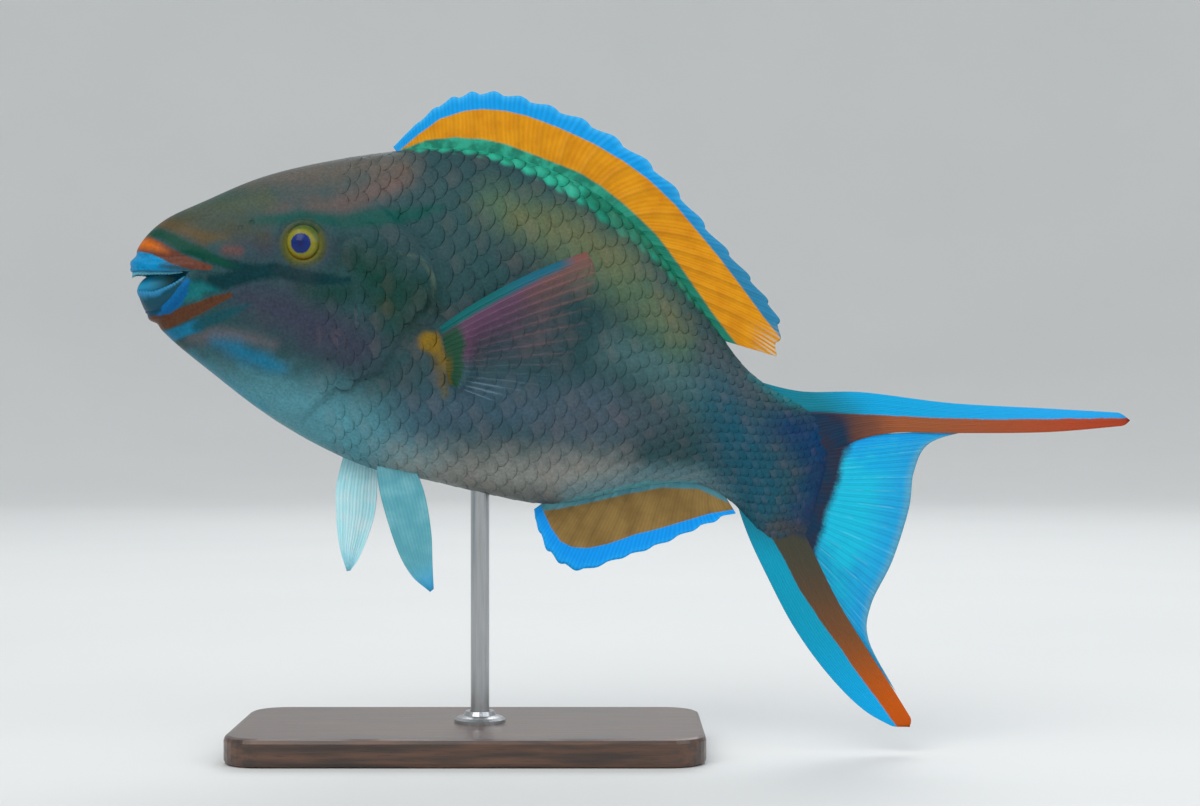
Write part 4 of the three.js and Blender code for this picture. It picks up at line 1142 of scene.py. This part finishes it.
def fin(name, inner, outer, size, thickness, rays, ridge, out=None, sink=0.0, scallop=0.0, lean=0.0,
        lengthwise=False, lines=None, ripple=0.0, bow=0.0, taper=0.0, tip=0.5):
    """Points between the inner and the outer line: along runs beside them and share runs
    across. Each face is half a thickness off the fin's own middle surface, and the
    ridges add to it. The rays run across, or with lengthwise beside the lines.

    Lengths in millimetres: sink puts the root under the skin, scallop swells the edge
    between rays, ripple waves it to the sides, bow arches the leading rays, and out is how
    far the fin stands off the body's middle plane. Shares: lean slants the rays by parts
    of their spacing, and taper is the last part of the length, where both lines close by
    a parabola on a tip that lies so far from the inner line. Lines are side-view lines
    whose distance the mesh carries."""
    along, share = np.meshgrid(np.linspace(0, 1, size[0]), np.linspace(0, 1, size[1]), indexing="ij")
    low, high = through(inner, along), through(outer, along)
    width = high - low
    outwards = width / np.linalg.norm(width, axis=-1, keepdims=True)
    phase = rays * share if lengthwise else rays * along + lean * (1 - share)
    crest = np.sin(np.pi * ((phase + CREST_PLACE) % 1) ** 2) * step(along, CREST_FROM, CREST_TO)
    high = high + outwards * (scallop * crest)[..., None]
    low = low - outwards * sink
    if taper:
        last = np.maximum(along - 1 + taper, 0) / taper
        closed = 1 - np.clip(1 - last ** 2, LEAST_OPEN, 1)[..., None]
        low, high = low + width * closed * tip, high - width * closed * (1 - tip)
    middle = low + (high - low) * share[..., None]
    middle[..., 1] += bow * np.sin(np.pi * share) * (1 - along) ** 2
    ridges = ray_ridges(phase, along if lengthwise else share)
    ends = step(along, 0, END_ACROSS) * (1 - step(along, 1 - END_ACROSS, 1))
    if lengthwise:
        ends = step(share, 0, END_LENGTHWISE)
    thick = thickness(along, share) + ridge * ridges * (1 - RAY_FADE * share) * ends
    wave = ripple * share ** 2 * np.sin(2 * np.pi * phase * RIPPLE_PITCH + RIPPLE_START)
    if out:
        wave = wave + out(along, share)
    across = np.concatenate([wave - thick / 2, (wave + thick / 2)[:, ::-1]], axis=1)
    both = np.concatenate([middle, middle[:, ::-1]], axis=1)
    points = bend(both[..., 0], across, both[..., 1])
    sheets = {"along": along, "share": share, "phase": phase}
    for line_name, (path, side) in (lines or {}).items():
        sheets[line_name] = side * beyond(middle[..., 0], middle[..., 1], path)
    fields = {key: np.concatenate([sheet, sheet[:, ::-1]], axis=1) for key, sheet in sheets.items()}
    rows, columns = both.shape[:2]
    return new_piece(name, points, [grid_faces(rows, columns), *end_faces(rows, columns)], fields)


def thinning(root, tip):
    """A thickness that falls from root to tip with a power of the way across."""
    return lambda along, share: root + (tip - root) * share ** THINNING_POWER


# %% [markdown]
# ### Dorsal and anal fin
# Each is one long orange sail with a blue hem, scalloped between the tips of its rays, and
# a foot of another colour: green on the dorsal fin, grey blue on the anal one. Where hem
# and foot end is a line on the side view, like the markings, and the mesh carries each
# point's distance from it. Noise shakes that distance, so the colours end like brushwork.

# %% Dorsal and anal fin
DORSAL_BASE = [(-32, 257.9), (-4.3, 259.3), (25.8, 253.3), (51.6, 241.6), (73.1, 224.4),
               (90.2, 203.3), (110.4, 175.5)]
DORSAL_EDGE = [(-33, 259.3), (-24, 268.0), (-9, 278.9), (8, 281.9), (29.6, 277.3), (55.0, 266.3),
               (80.0, 248.0), (101.0, 224.0), (119.5, 202.5), (131.5, 184.5), (130.0, 169.6)]
ANAL_BASE = [(30.1, 105.4), (49.5, 107.1), (68.8, 111.8), (86.0, 114.4), (100.1, 113.2), (111, 107)]
ANAL_EDGE = [(27.5, 103.5), (29.0, 97.0), (35.5, 84.5), (47.3, 78.0), (64.5, 83.0), (81.7, 89.0),
             (98.8, 96.6), (113.5, 103.0)]
DORSAL_HEM = [(-31, 257), (-22.3, 264.4), (-12.9, 271.3), (-2, 274.8), (5.2, 275.6), (15, 274.8),
              (24.5, 272.6), (39, 267.2), (53.3, 260.6), (65.8, 253.2), (77, 245), (88.5, 234),
              (106.5, 212.2), (118, 197), (126, 186), (134, 176)]
DORSAL_FOOT = [(-30, 258), (-18.9, 262), (-6.9, 263.6), (5.2, 262.7), (15, 260.6), (24.5, 257.1),
               (39.1, 251.6), (48.6, 247.6), (57.2, 242), (65.8, 235.1), (72.7, 228.8), (80, 221.8),
               (90.7, 207.6), (103.9, 188.4), (111.2, 178.8), (122, 166)]
ANAL_HEM = [(28.2, 108), (31, 104), (34.8, 95.8), (39, 89.8), (44, 87.2), (51.2, 86.9), (58.5, 88.4),
            (71.4, 92.9), (82.5, 95.7), (93.7, 99), (103, 101.8), (116, 104)]
ANAL_FOOT = [(30, 102.6), (38, 103.6), (50, 106), (68, 110.2), (83, 112.8), (98, 112.4), (112, 106)]
FIN_GLOSS = {"Coat Weight": 0.06, "Coat Roughness": 0.22, "Specular IOR Level": 0.14}


def fin_material(name, clouds, grains=1200):
    """The start of every fin's finish: the material, and soft clouds and fine grain that
    swing about zero, so many waves to the metre."""
    finish = Finish(name)
    return finish, finish.noise(clouds, 4) - 0.5, finish.noise(grains, 3) - 0.5


def satin(finish, colour, grain, ridges, alpha=None):
    """The end of every fin's finish: a wet satin surface with raised rays."""
    return finish.surface(colour, grain * 0.2 + 0.45, ridges, alpha=alpha, fixed=FIN_GLOSS)


def sail_finish(name, membrane, deep, hem, hem_light, foot, bead, frayed):
    """A membrane with darker streaks between rays, over it a foot with lighter beads, and
    over both a hem. If so told, the rear end is frayed: pale rays show through the hem."""
    finish, cloud, grain = fin_material(name, 120)
    share, along = finish.field("share"), finish.field("along")
    wavy = finish.field("phase") + cloud * 0.12
    ray, fine = finish.wave(wavy, 1) ** 4, finish.wave(wavy, 5)
    ragged = grain * 0.5 + cloud * 0.8
    low = finish.fade(finish.field("foot") + ragged, 0.5, -0.7)
    beads = finish.fade(finish.noise(150, 3), 0.42, 0.6) * finish.fade(along, 0.85, 0.35)
    colour = finish.coats(
        membrane,
        (finish.fade(cloud, -0.2, 0.25), deep),
        (fine * 0.18, dimmed(deep, 0.7)),
        (ray * 0.14, dimmed(deep, 0.62)),
        (low, finish.coats(foot, (beads * 0.8, bead))))
    edge = finish.fade(finish.field("hem") + ragged * 0.6, -0.35, 0.35)
    blue = finish.coats(hem, (finish.fade(share, 0.88, 1.0), hem_light))
    if frayed:
        torn = finish.fade(along, 0.9, 0.98) * finish.fade(share, 0.55, 0.95)
        pale_rays = torn * finish.fade(finish.wave(wavy, 4), 0.35, 0.7) * 0.8
        colour = finish.coats(colour, (pale_rays, (196, 190, 170)))
        blue = finish.coats(blue, (finish.fade(along, 0.55, 0.8) * 0.8, (50, 118, 144)))
        edge = edge * (1 - pale_rays)
    blue = finish.coats(blue, (fine * 0.25, dimmed(hem, 0.66)))
    colour = finish.coats(colour, (edge, blue))
    return satin(finish, colour, grain, ray * 0.12 + fine * 0.06 + grain * 0.1)


dorsal = fin("dorsal_fin_membrane", DORSAL_BASE, DORSAL_EDGE, (461, 30), thinning(2.4, 0.45), 19, 0.7,
             sink=4.0, scallop=1.7, lean=1.3, ripple=0.5,
             lines={"hem": (DORSAL_HEM, 1), "foot": (DORSAL_FOOT, 1)})
dorsal_look = sail_finish(
    "dorsal_membrane", membrane=(226, 152, 14), deep=(208, 132, 4), hem=(6, 156, 232),
    hem_light=(50, 176, 242), foot=(24, 122, 100), bead=(52, 172, 144), frayed=True)
settle(dorsal, dorsal_look, "orange_fin", "dorsal_fin")
anal = fin("anal_fin_membrane", ANAL_BASE, ANAL_EDGE, (301, 26), thinning(2.2, 0.45), 12, 0.6,
           sink=4.0, scallop=1.2, lean=1.2, ripple=0.5,
           lines={"hem": (ANAL_HEM, -1), "foot": (ANAL_FOOT, -1)})
anal_look = sail_finish(
    "anal_membrane", membrane=(152, 122, 68), deep=(128, 100, 54), hem=(0, 158, 252),
    hem_light=(24, 172, 255), foot=(78, 142, 156), bead=(96, 158, 170), frayed=False)
settle(anal, anal_look, "orange_fin", "anal_fin")

# %% [markdown]
# ### Tail fin
# The outermost rays of the tail grow into two long lobes, orange inside and blue
# outside, whose rays run lengthwise. Between them a soft blue web fans out from the
# scaly root. The lobes are thick at their root, and the web is sunk into both.

# %% Tail fin
UPPER_LOBE_OUTER = [(118, 160), (141.5, 154.3), (168, 153.8), (205, 149.2), (245, 146.9), (277.4, 145)]
UPPER_LOBE_INNER = [(135, 118), (160.5, 131.3), (180, 136.4), (205, 136.4), (245, 136.9), (279.2, 139.9)]
LOWER_LOBE_OUTER = [(110, 122), (118, 96), (127.6, 74.8), (139, 53.2), (152.8, 34), (168, 18.6),
                    (183.5, 9.8)]
LOWER_LOBE_INNER = [(138, 105), (147.8, 84.2), (158.4, 62.9), (170, 44), (180, 28.5), (190, 12.2)]
WEB_ROOT = [(155, 135), (146, 119), (141, 104), (138, 92), (141, 81)]
WEB_EDGE = [(214, 138), (196, 132), (189.6, 120), (187.4, 104), (180.5, 82), (171.5, 63), (170.6, 48),
            (182, 26)]
LOBE_THICK, WEB_THICK = (3.0, 1.1), (1.7, 0.5)
LOBE_WAIST, LOBE_POWER = 0.4, 0.7
WEB_SUNK, WEB_SUNK_ABOVE, WEB_SUNK_BELOW = 0.22, (0, 0.1), (0.78, 0.97)
UPPER_STREAK = [(120, 146), (157.6, 144.9), (175.3, 144.1), (200.5, 142.8), (225.4, 142.4), (282, 142.8)]
LOWER_STREAK = [(120, 108), (128.7, 92.7), (135.1, 82), (141.5, 69.2), (150, 56.4), (160.5, 41.6),
                (171.1, 26.8), (185, 8)]
UPPER_ROOT_END = [(140, 172), (152, 152), (161, 145), (163, 139), (164, 128), (160, 100)]
LOWER_ROOT_END = [(170, 92), (148, 90), (128, 96), (100, 104)]
WEB_ROOT_END = [(168, 142), (165, 133), (161, 125), (159, 116), (155.5, 107), (152, 96), (149.5, 86),
                (149, 70)]


def lobe_thickness(along, share):
    """Thinner towards the tip, by a power of the way along, and towards both edges."""
    root, tip = LOBE_THICK
    waist = 1 - LOBE_WAIST * (2 * share - 1) ** 4
    return (root + (tip - root) * along ** LOBE_POWER) * waist


def web_thickness(along, share):
    """Thinner to the edge, and thinner yet where it is sunk into the lobes."""
    root, tip = WEB_THICK
    free = step(along, *WEB_SUNK_ABOVE) * (1 - step(along, *WEB_SUNK_BELOW))
    sunk = WEB_SUNK + (1 - WEB_SUNK) * free
    return (root + (tip - root) * share ** THINNING_POWER) * sunk


def stem_clouds(finish, cloud):
    """The dark blue and violet clouds of the scaly stem, which end on the tail fin."""
    return finish.coats((10, 48, 76), (finish.fade(cloud, -0.1, 0.2), (40, 42, 62)))


def lobe_finish(name, warm_reach, warm_root, warm, warm_tip, cool_root, cool, cool_tip):
    """Both colours run from a dark root through their own shade to the tip's; the warm
    one reaches its full shade so many millimetres from the root."""
    finish, cloud, grain = fin_material(name, 90, 1000)
    along, streak = finish.field("along"), finish.field("streak")
    fine = finish.wave(finish.field("phase") + cloud * 0.3, 3)
    away = finish.field("root") + cloud * 8
    orange = finish.coats(
        warm_root,
        (finish.fade(away, 0, warm_reach), warm),
        (finish.fade(along, 0.5, 1.0), warm_tip),
        (fine * 0.16, dimmed(warm, 0.6)))
    blue = finish.coats(
        cool_root,
        (finish.fade(away, -6, 16), cool),
        (finish.fade(along, 0.4, 1.0), cool_tip),
        (fine * 0.22, dimmed(cool, 0.66)))
    ragged = grain * 0.5 + cloud * 1.2
    colour = finish.coats(
        orange,
        (finish.fade(streak + ragged, -0.4, 0.4), blue),
        (finish.fade(away, 3.0, -4.0) * finish.fade(streak, 2.0, -1.5), stem_clouds(finish, cloud)))
    return satin(finish, colour, grain, fine * 0.08 + grain * 0.1)


def web_finish():
    """Cyan near the root and bluer outwards, with many fine rays, pale streaks and a
    greyish rim."""
    finish, cloud, grain = fin_material("tail_web_membrane", 110)
    share, along = finish.field("share"), finish.field("along")
    wavy = finish.field("phase") + cloud * 0.1
    fine, finer = finish.wave(wavy, 2), finish.wave(wavy, 5)
    streak = finish.fade(finish.wave(wavy, 2.7) * finish.wave(wavy, 0.9), 0.6, 0.95)
    streak = streak * finish.fade(share, 0.15, 0.4) * finish.fade(cloud, -0.1, 0.15)
    colour = finish.coats(
        (8, 156, 226),
        (finish.fade(along + cloud * 0.5, 0.0, 0.35), (18, 186, 220)),
        (finish.fade(along + cloud * 0.5, 0.55, 0.85), (14, 156, 198)),
        (finish.fade(share + cloud * 0.3, 0.55, 0.95) * 0.8, (28, 152, 216)),
        (finish.fade(share, 0.9, 1.0) * 0.8, (96, 160, 186)),
        (streak * 0.3, (120, 208, 236)))
    colour = finish.shade(colour, fine * 0.1 + finer * 0.1 + 0.88)
    dark = finish.fade(finish.field("dark") + cloud * 5 + grain * 2, 1.5, -2.5)
    colour = finish.coats(colour, (dark, stem_clouds(finish, cloud)))
    return satin(finish, colour, grain, fine * 0.1 + finer * 0.05 + grain * 0.1)


upper_lobe = fin("tail_upper_lobe", UPPER_LOBE_INNER, UPPER_LOBE_OUTER, (260, 40), lobe_thickness,
                 7, 0.4, lengthwise=True, taper=0.025, tip=0.4,
                 lines={"streak": (UPPER_STREAK, 1), "root": (UPPER_ROOT_END, 1)})
upper_look = lobe_finish(
    "upper_lobe_membrane", warm_reach=22, warm_root=(90, 60, 54), warm=(158, 88, 52),
    warm_tip=(186, 70, 36), cool_root=(10, 122, 140), cool=(0, 168, 226), cool_tip=(40, 178, 252))
settle(upper_lobe, upper_look, "tail_fin", "tail_fin_upper_lobe")
lower_lobe = fin("tail_lower_lobe", LOWER_LOBE_INNER, LOWER_LOBE_OUTER, (260, 40), lobe_thickness,
                 7, 0.3, lengthwise=True, taper=0.04, tip=0.35,
                 lines={"streak": (LOWER_STREAK, -1), "root": (LOWER_ROOT_END, 1)})
lower_look = lobe_finish(
    "lower_lobe_membrane", warm_reach=100, warm_root=(60, 66, 56), warm=(176, 90, 4),
    warm_tip=(206, 88, 0), cool_root=(8, 118, 140), cool=(0, 158, 192), cool_tip=(2, 176, 246))
settle(lower_lobe, lower_look, "tail_fin", "tail_fin_lower_lobe")
web = fin("tail_web", WEB_ROOT, WEB_EDGE, (421, 34), web_thickness, 18, 0.14, lean=0.3, ripple=0.35,
          lines={"dark": (WEB_ROOT_END, 1)})
settle(web, web_finish(), "tail_fin", "tail_fin_web")

# %% [markdown]
# ### Paired fins
# The pectoral fin is a clear fan: a strong blue green leading ray, then rose rays, with a
# golden blob and a green bar at its root. Only its rays and a tint of membrane show, so
# its alpha follows the rays. The pelvic fins are blades that hang and spread, painted as a
# shaded and a lit copy of one membrane: the left one, in the fish's own shade, is painted
# mid blue, and the right one, on which the light falls, is painted almost white.

# %% Pectoral and pelvic fins
PECTORAL_ROOT = [(-12.0, 180.5), (-9.0, 172.0), (-6.5, 164.0), (-4.5, 156.0)]
PECTORAL_EDGE = [(51.5, 211.5), (55.0, 203.0), (52.5, 188.0), (46.5, 170.0), (33.5, 156.5),
                 (14.4, 149.0)]
PECTORAL_OUT, PECTORAL_RISE, PECTORAL_RISE_END = 24.0, 3.2, 0.14
PECTORAL_SPLAY, PECTORAL_CUP, PECTORAL_BOW = 18.5, 2.0, 3.4
PELVIC_OUT, PELVIC_SPLAY, PELVIC_THICK, PELVIC_WAIST = 6.0, 9.0, (2.4, 0.6), 0.35
LEFT_PELVIC = ([(-40, 129), (-38.5, 112), (-31.4, 88.6), (-24.7, 76.3), (-16.4, 69.2)],
               [(-26, 127), (-19.5, 112), (-16.2, 95), (-15.4, 80), (-14.8, 70.4)])
RIGHT_PELVIC = ([(-53, 132), (-57.4, 114), (-57.6, 100), (-56.4, 87), (-53.4, 76)],
                [(-40, 129), (-40.2, 111), (-42.0, 98), (-47.5, 83), (-51.8, 76.2)])


def pectoral_finish():
    """Rose rays that fade to clear, over them a lead that turns from blue green to rose at
    its tip, a green bar and a golden blob at the root, and white streaks on the lower rays.
    Alpha is high on rays and in front and low on the clear part."""
    finish, cloud, grain = fin_material("pectoral_membrane", 140)
    share, along = finish.field("share"), finish.field("along")
    wavy = finish.field("phase") + cloud * 0.1
    ray, fine = finish.wave(wavy, 1) ** 3, finish.wave(wavy, 3) ** 2
    streak = finish.wave(wavy, 1) ** 2 * finish.fade(along, 0.74, 0.9) * finish.fade(share, 0.2, 0.4)
    streak = streak * finish.fade(share + cloud * 0.8, 1.0, 0.5)
    bar = finish.fade(share + cloud * 0.1, 0.2, 0.14) * finish.fade(along, 0.05, 0.2)
    gold = finish.fade(share + cloud * 0.1, 0.09, 0.04) * finish.fade(along, 0.3, 0.6) * 0.7
    pale = finish.coats((66, 100, 112), (finish.fade(share, 0.25, 0.5), (64, 92, 104)))
    fan = finish.coats(
        (104, 72, 100),
        (finish.fade(share + cloud * 0.3, 0.4, 0.8), (124, 86, 84)),
        (finish.fade(along + cloud * 0.2, 0.5, 0.75), pale))
    lead = finish.coats(
        (6, 100, 102),
        (finish.fade(share, 0.3, 0.7), (24, 100, 124)),
        (finish.fade(share, 0.8, 0.95), (132, 84, 78)))
    colour = finish.coats(
        finish.shade(fan, ray * 0.3 + fine * 0.12 + 0.82),
        (finish.fade(along + share * 0.06 + cloud * 0.03, 0.16, 0.1), lead),
        (bar, (32, 76, 56)),
        (gold, (112, 90, 24)),
        (streak * 0.6, (112, 142, 166)))
    clear = finish.fade(along + cloud * 0.1 + share * 0.16, 0.1, 0.56) * finish.fade(share, 0.12, 0.27)
    gaps = finish.fade(along, 0.1, 0.2) * finish.fade(share, 0.3, 0.6) * (1 - ray) * (1 - clear)
    veil = 0.96 - clear * (0.95 - ray * 0.12 - fine * 0.05 - streak * 0.36)
    veil = veil - finish.fade(share, 0.6, 1.0) * 0.1 - gaps * 0.25
    return satin(finish, colour, grain, ray * 0.15 + fine * 0.05, alpha=veil)


def pelvic_finish(name, membrane, light, dark, tip):
    """A clouded membrane with darker rays, paler to its tip and greener at its root."""
    finish, cloud, grain = fin_material(name, 110)
    fine = finish.wave(finish.field("phase") + cloud * 0.3, 2)
    reach = finish.field("along") + cloud * 0.2
    colour = finish.coats(
        membrane,
        (finish.fade(cloud, -0.15, 0.25), light),
        (fine * 0.3, dark),
        (finish.fade(reach, 0.6, 1.0) * 0.8, tip),
        (finish.fade(reach, 0.25, 0.05) * 0.4, (96, 146, 156)))
    return satin(finish, colour, grain, fine * 0.1 + grain * 0.1)


def pectoral_out(side):
    """How far the fan stands off the middle plane: a smooth step just behind the root,
    a splay with the share, and a cup by the sine of the way along."""
    return lambda along, share: side * (
        PECTORAL_OUT + PECTORAL_RISE * step(share, 0, PECTORAL_RISE_END) + PECTORAL_SPLAY * share
        + PECTORAL_CUP * np.sin(np.pi * along) * share)


def pelvic_out(side):
    """How far a blade stands off the middle plane: evenly more towards its tip."""
    return lambda along, share: side * (PELVIC_OUT + PELVIC_SPLAY * along)


def pelvic_thickness(along, share):
    """Thinner towards the tip and towards both edges."""
    root, tip = PELVIC_THICK
    return (root + (tip - root) * along) * (1 - PELVIC_WAIST * (2 * share - 1) ** 2)


pectoral_material = pectoral_finish()
for side_name, side in (("left", -1), ("right", 1)):
    pectoral = fin("pectoral_membrane_" + side_name, PECTORAL_ROOT, PECTORAL_EDGE, (281, 34),
                   thinning(2.4, 0.4), 15, 0.4, pectoral_out(side), sink=3.0, scallop=0.5,
                   ripple=0.5, bow=PECTORAL_BOW)
    settle(pectoral, pectoral_material, "pectoral_fin", "pectoral_fin_" + side_name)

pelvic_lit_and_shaded = {
    # Painted shade and light: the left blade's shades hold the fish's own shade, and the right blade's
    # near whites hold the light that falls on it.
    "left": (-1, LEFT_PELVIC, (90, 162, 176), (122, 186, 196), (70, 138, 158), (50, 160, 212)),
    "right": (1, RIGHT_PELVIC, (190, 248, 255), (224, 252, 255), (140, 214, 240), (150, 234, 255))}
for side_name, (side, (front, rear_edge), *shades) in pelvic_lit_and_shaded.items():
    pelvic = fin("pelvic_membrane_" + side_name, front, rear_edge, (121, 31), pelvic_thickness, 6, 0.5,
                 pelvic_out(side), lengthwise=True, ripple=0.4)
    settle(pelvic, pelvic_finish("pelvic_" + side_name, *shades), "pelvic_fin",
           "pelvic_fin_" + side_name)

# %% [markdown]
# ## The stand
# The base is a dark stained board and the rod is brushed steel, as in many museums. Their
# solids are already right, so only their finishes are new.

# %% Stand finishes
def wood_finish():
    """Grain is noise drawn out along the board, with dark pores and a satin varnish."""
    finish = Finish("stained_wood")
    grain = finish.noise(22, 8, stretch=(1.2, 14, 14))
    pores = finish.noise(160, 4, stretch=(0.6, 12, 12))
    colour = finish.coats(
        (44, 28, 20),
        (finish.fade(grain, 0.3, 0.7), (92, 60, 40)),
        (finish.fade(pores, 0.58, 0.72) * 0.6, (24, 15, 11)))
    varnish = {"Coat Weight": 0.5, "Coat Roughness": 0.18}
    return finish.surface(colour, grain * 0.15 + 0.4, grain * 0.2 - pores * 0.12, fixed=varnish)


def steel_finish():
    """Brush marks are noise drawn out round the rod, in colour, gloss and height."""
    finish = Finish("brushed_steel")
    brush = finish.noise(60, 5, stretch=(30, 30, 1))
    colour = finish.coats((150, 152, 155), (brush, (196, 198, 200)))
    return finish.surface(colour, brush * 0.18 + 0.22, brush * 0.05, fixed={"Metallic": 1.0})


steel = steel_finish()
for node, look in (("stand_base", wood_finish()), ("stand_rod", steel), ("stand_collar", steel)):
    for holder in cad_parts[node].material_slots:
        holder.material = look
    print(node, "is", look.name)

# %% [markdown]
# ## Floor and light
# The model stands in the middle of a wide pale bowl, flat in its middle and curving up to
# its wall, so that it looks the same from every side and no horizon cuts the picture. Large
# soft lamps hang overhead: a main one in front and to the left, a weaker one to the right,
# and one behind for the fins' edges.

# %% Stage
FLOOR_RADIUS, CURVE_RADIUS, WALL_TOP = 2.6, 1.6, 2.4
BOWL_TURNS, CURVE_STEPS = 96, 16

profile = [(0.001, 0.0), (0.6, 0.0), (1.4, 0.0), (FLOOR_RADIUS, 0.0)]
for angle in np.linspace(0, np.pi / 2, CURVE_STEPS + 1)[1:]:
    profile.append((FLOOR_RADIUS + CURVE_RADIUS * math.sin(angle), CURVE_RADIUS * (1 - math.cos(angle))))
profile.append((FLOOR_RADIUS + CURVE_RADIUS, WALL_TOP))
radius, height = np.array(profile).T[:, :, None]
turn = round_turns(BOWL_TURNS)[None, :]
bowl = np.stack([radius * np.cos(turn), radius * np.sin(turn), height + 0 * turn], axis=-1)
bowl_faces = [*grid_faces(len(profile), BOWL_TURNS)[:, ::-1].tolist(), list(range(BOWL_TURNS))]
stage_mesh = bpy.data.meshes.new("pale_floor")
stage_mesh.from_pydata(bowl.reshape(-1, 3).tolist(), [], bowl_faces)
stage_mesh.polygons.foreach_set("use_smooth", [True] * len(bowl_faces))
floor = bpy.data.objects.new("pale_floor", stage_mesh)
scene.collection.objects.link(floor)
floor_finish = Finish("pale_floor")
pale = floor_finish.coats((214, 216, 216), (floor_finish.noise(3, 3), (222, 223, 222)))
floor.data.materials.append(floor_finish.surface(pale, 0.7))

# Each lamp: where it hangs, how wide it is, its watts and its tint
LAMPS = {"main": ((-0.9, -1.6, 1.9), 1.8, 30, (1.0, 0.98, 0.95)),
         "side": ((1.7, -1.1, 1.3), 1.6, 12, (0.93, 0.97, 1.0)),
         "rear": ((0.3, 1.7, 1.9), 1.6, 20, (0.96, 0.98, 1.0))}
TARGET = (0.05, 0.0, 0.17)
SKY_TINT, SKY_STRENGTH = (0.94, 0.97, 1.0, 1.0), 0.7

for name, (place, size, power, tone) in LAMPS.items():
    lamp = bpy.data.objects.new(name, bpy.data.lights.new(name, "AREA"))
    scene.collection.objects.link(lamp)
    lamp.data.size, lamp.data.energy, lamp.data.color = size, power, tone
    lamp.location = place
    aim = np.array(TARGET) - np.array(place)
    level = math.hypot(aim[0], aim[1])
    lamp.rotation_euler = (math.atan2(level, -aim[2]), 0, math.atan2(aim[1], aim[0]) - math.pi / 2)
    lamp.visible_camera = False
    print(name, "lamp", power, "watts")

world = bpy.data.worlds.new("studio")
world.use_nodes = True
sky = world.node_tree.nodes["Background"].inputs
sky["Color"].default_value, sky["Strength"].default_value = SKY_TINT, SKY_STRENGTH
scene.world = world
scene.view_settings.view_transform = "Standard"
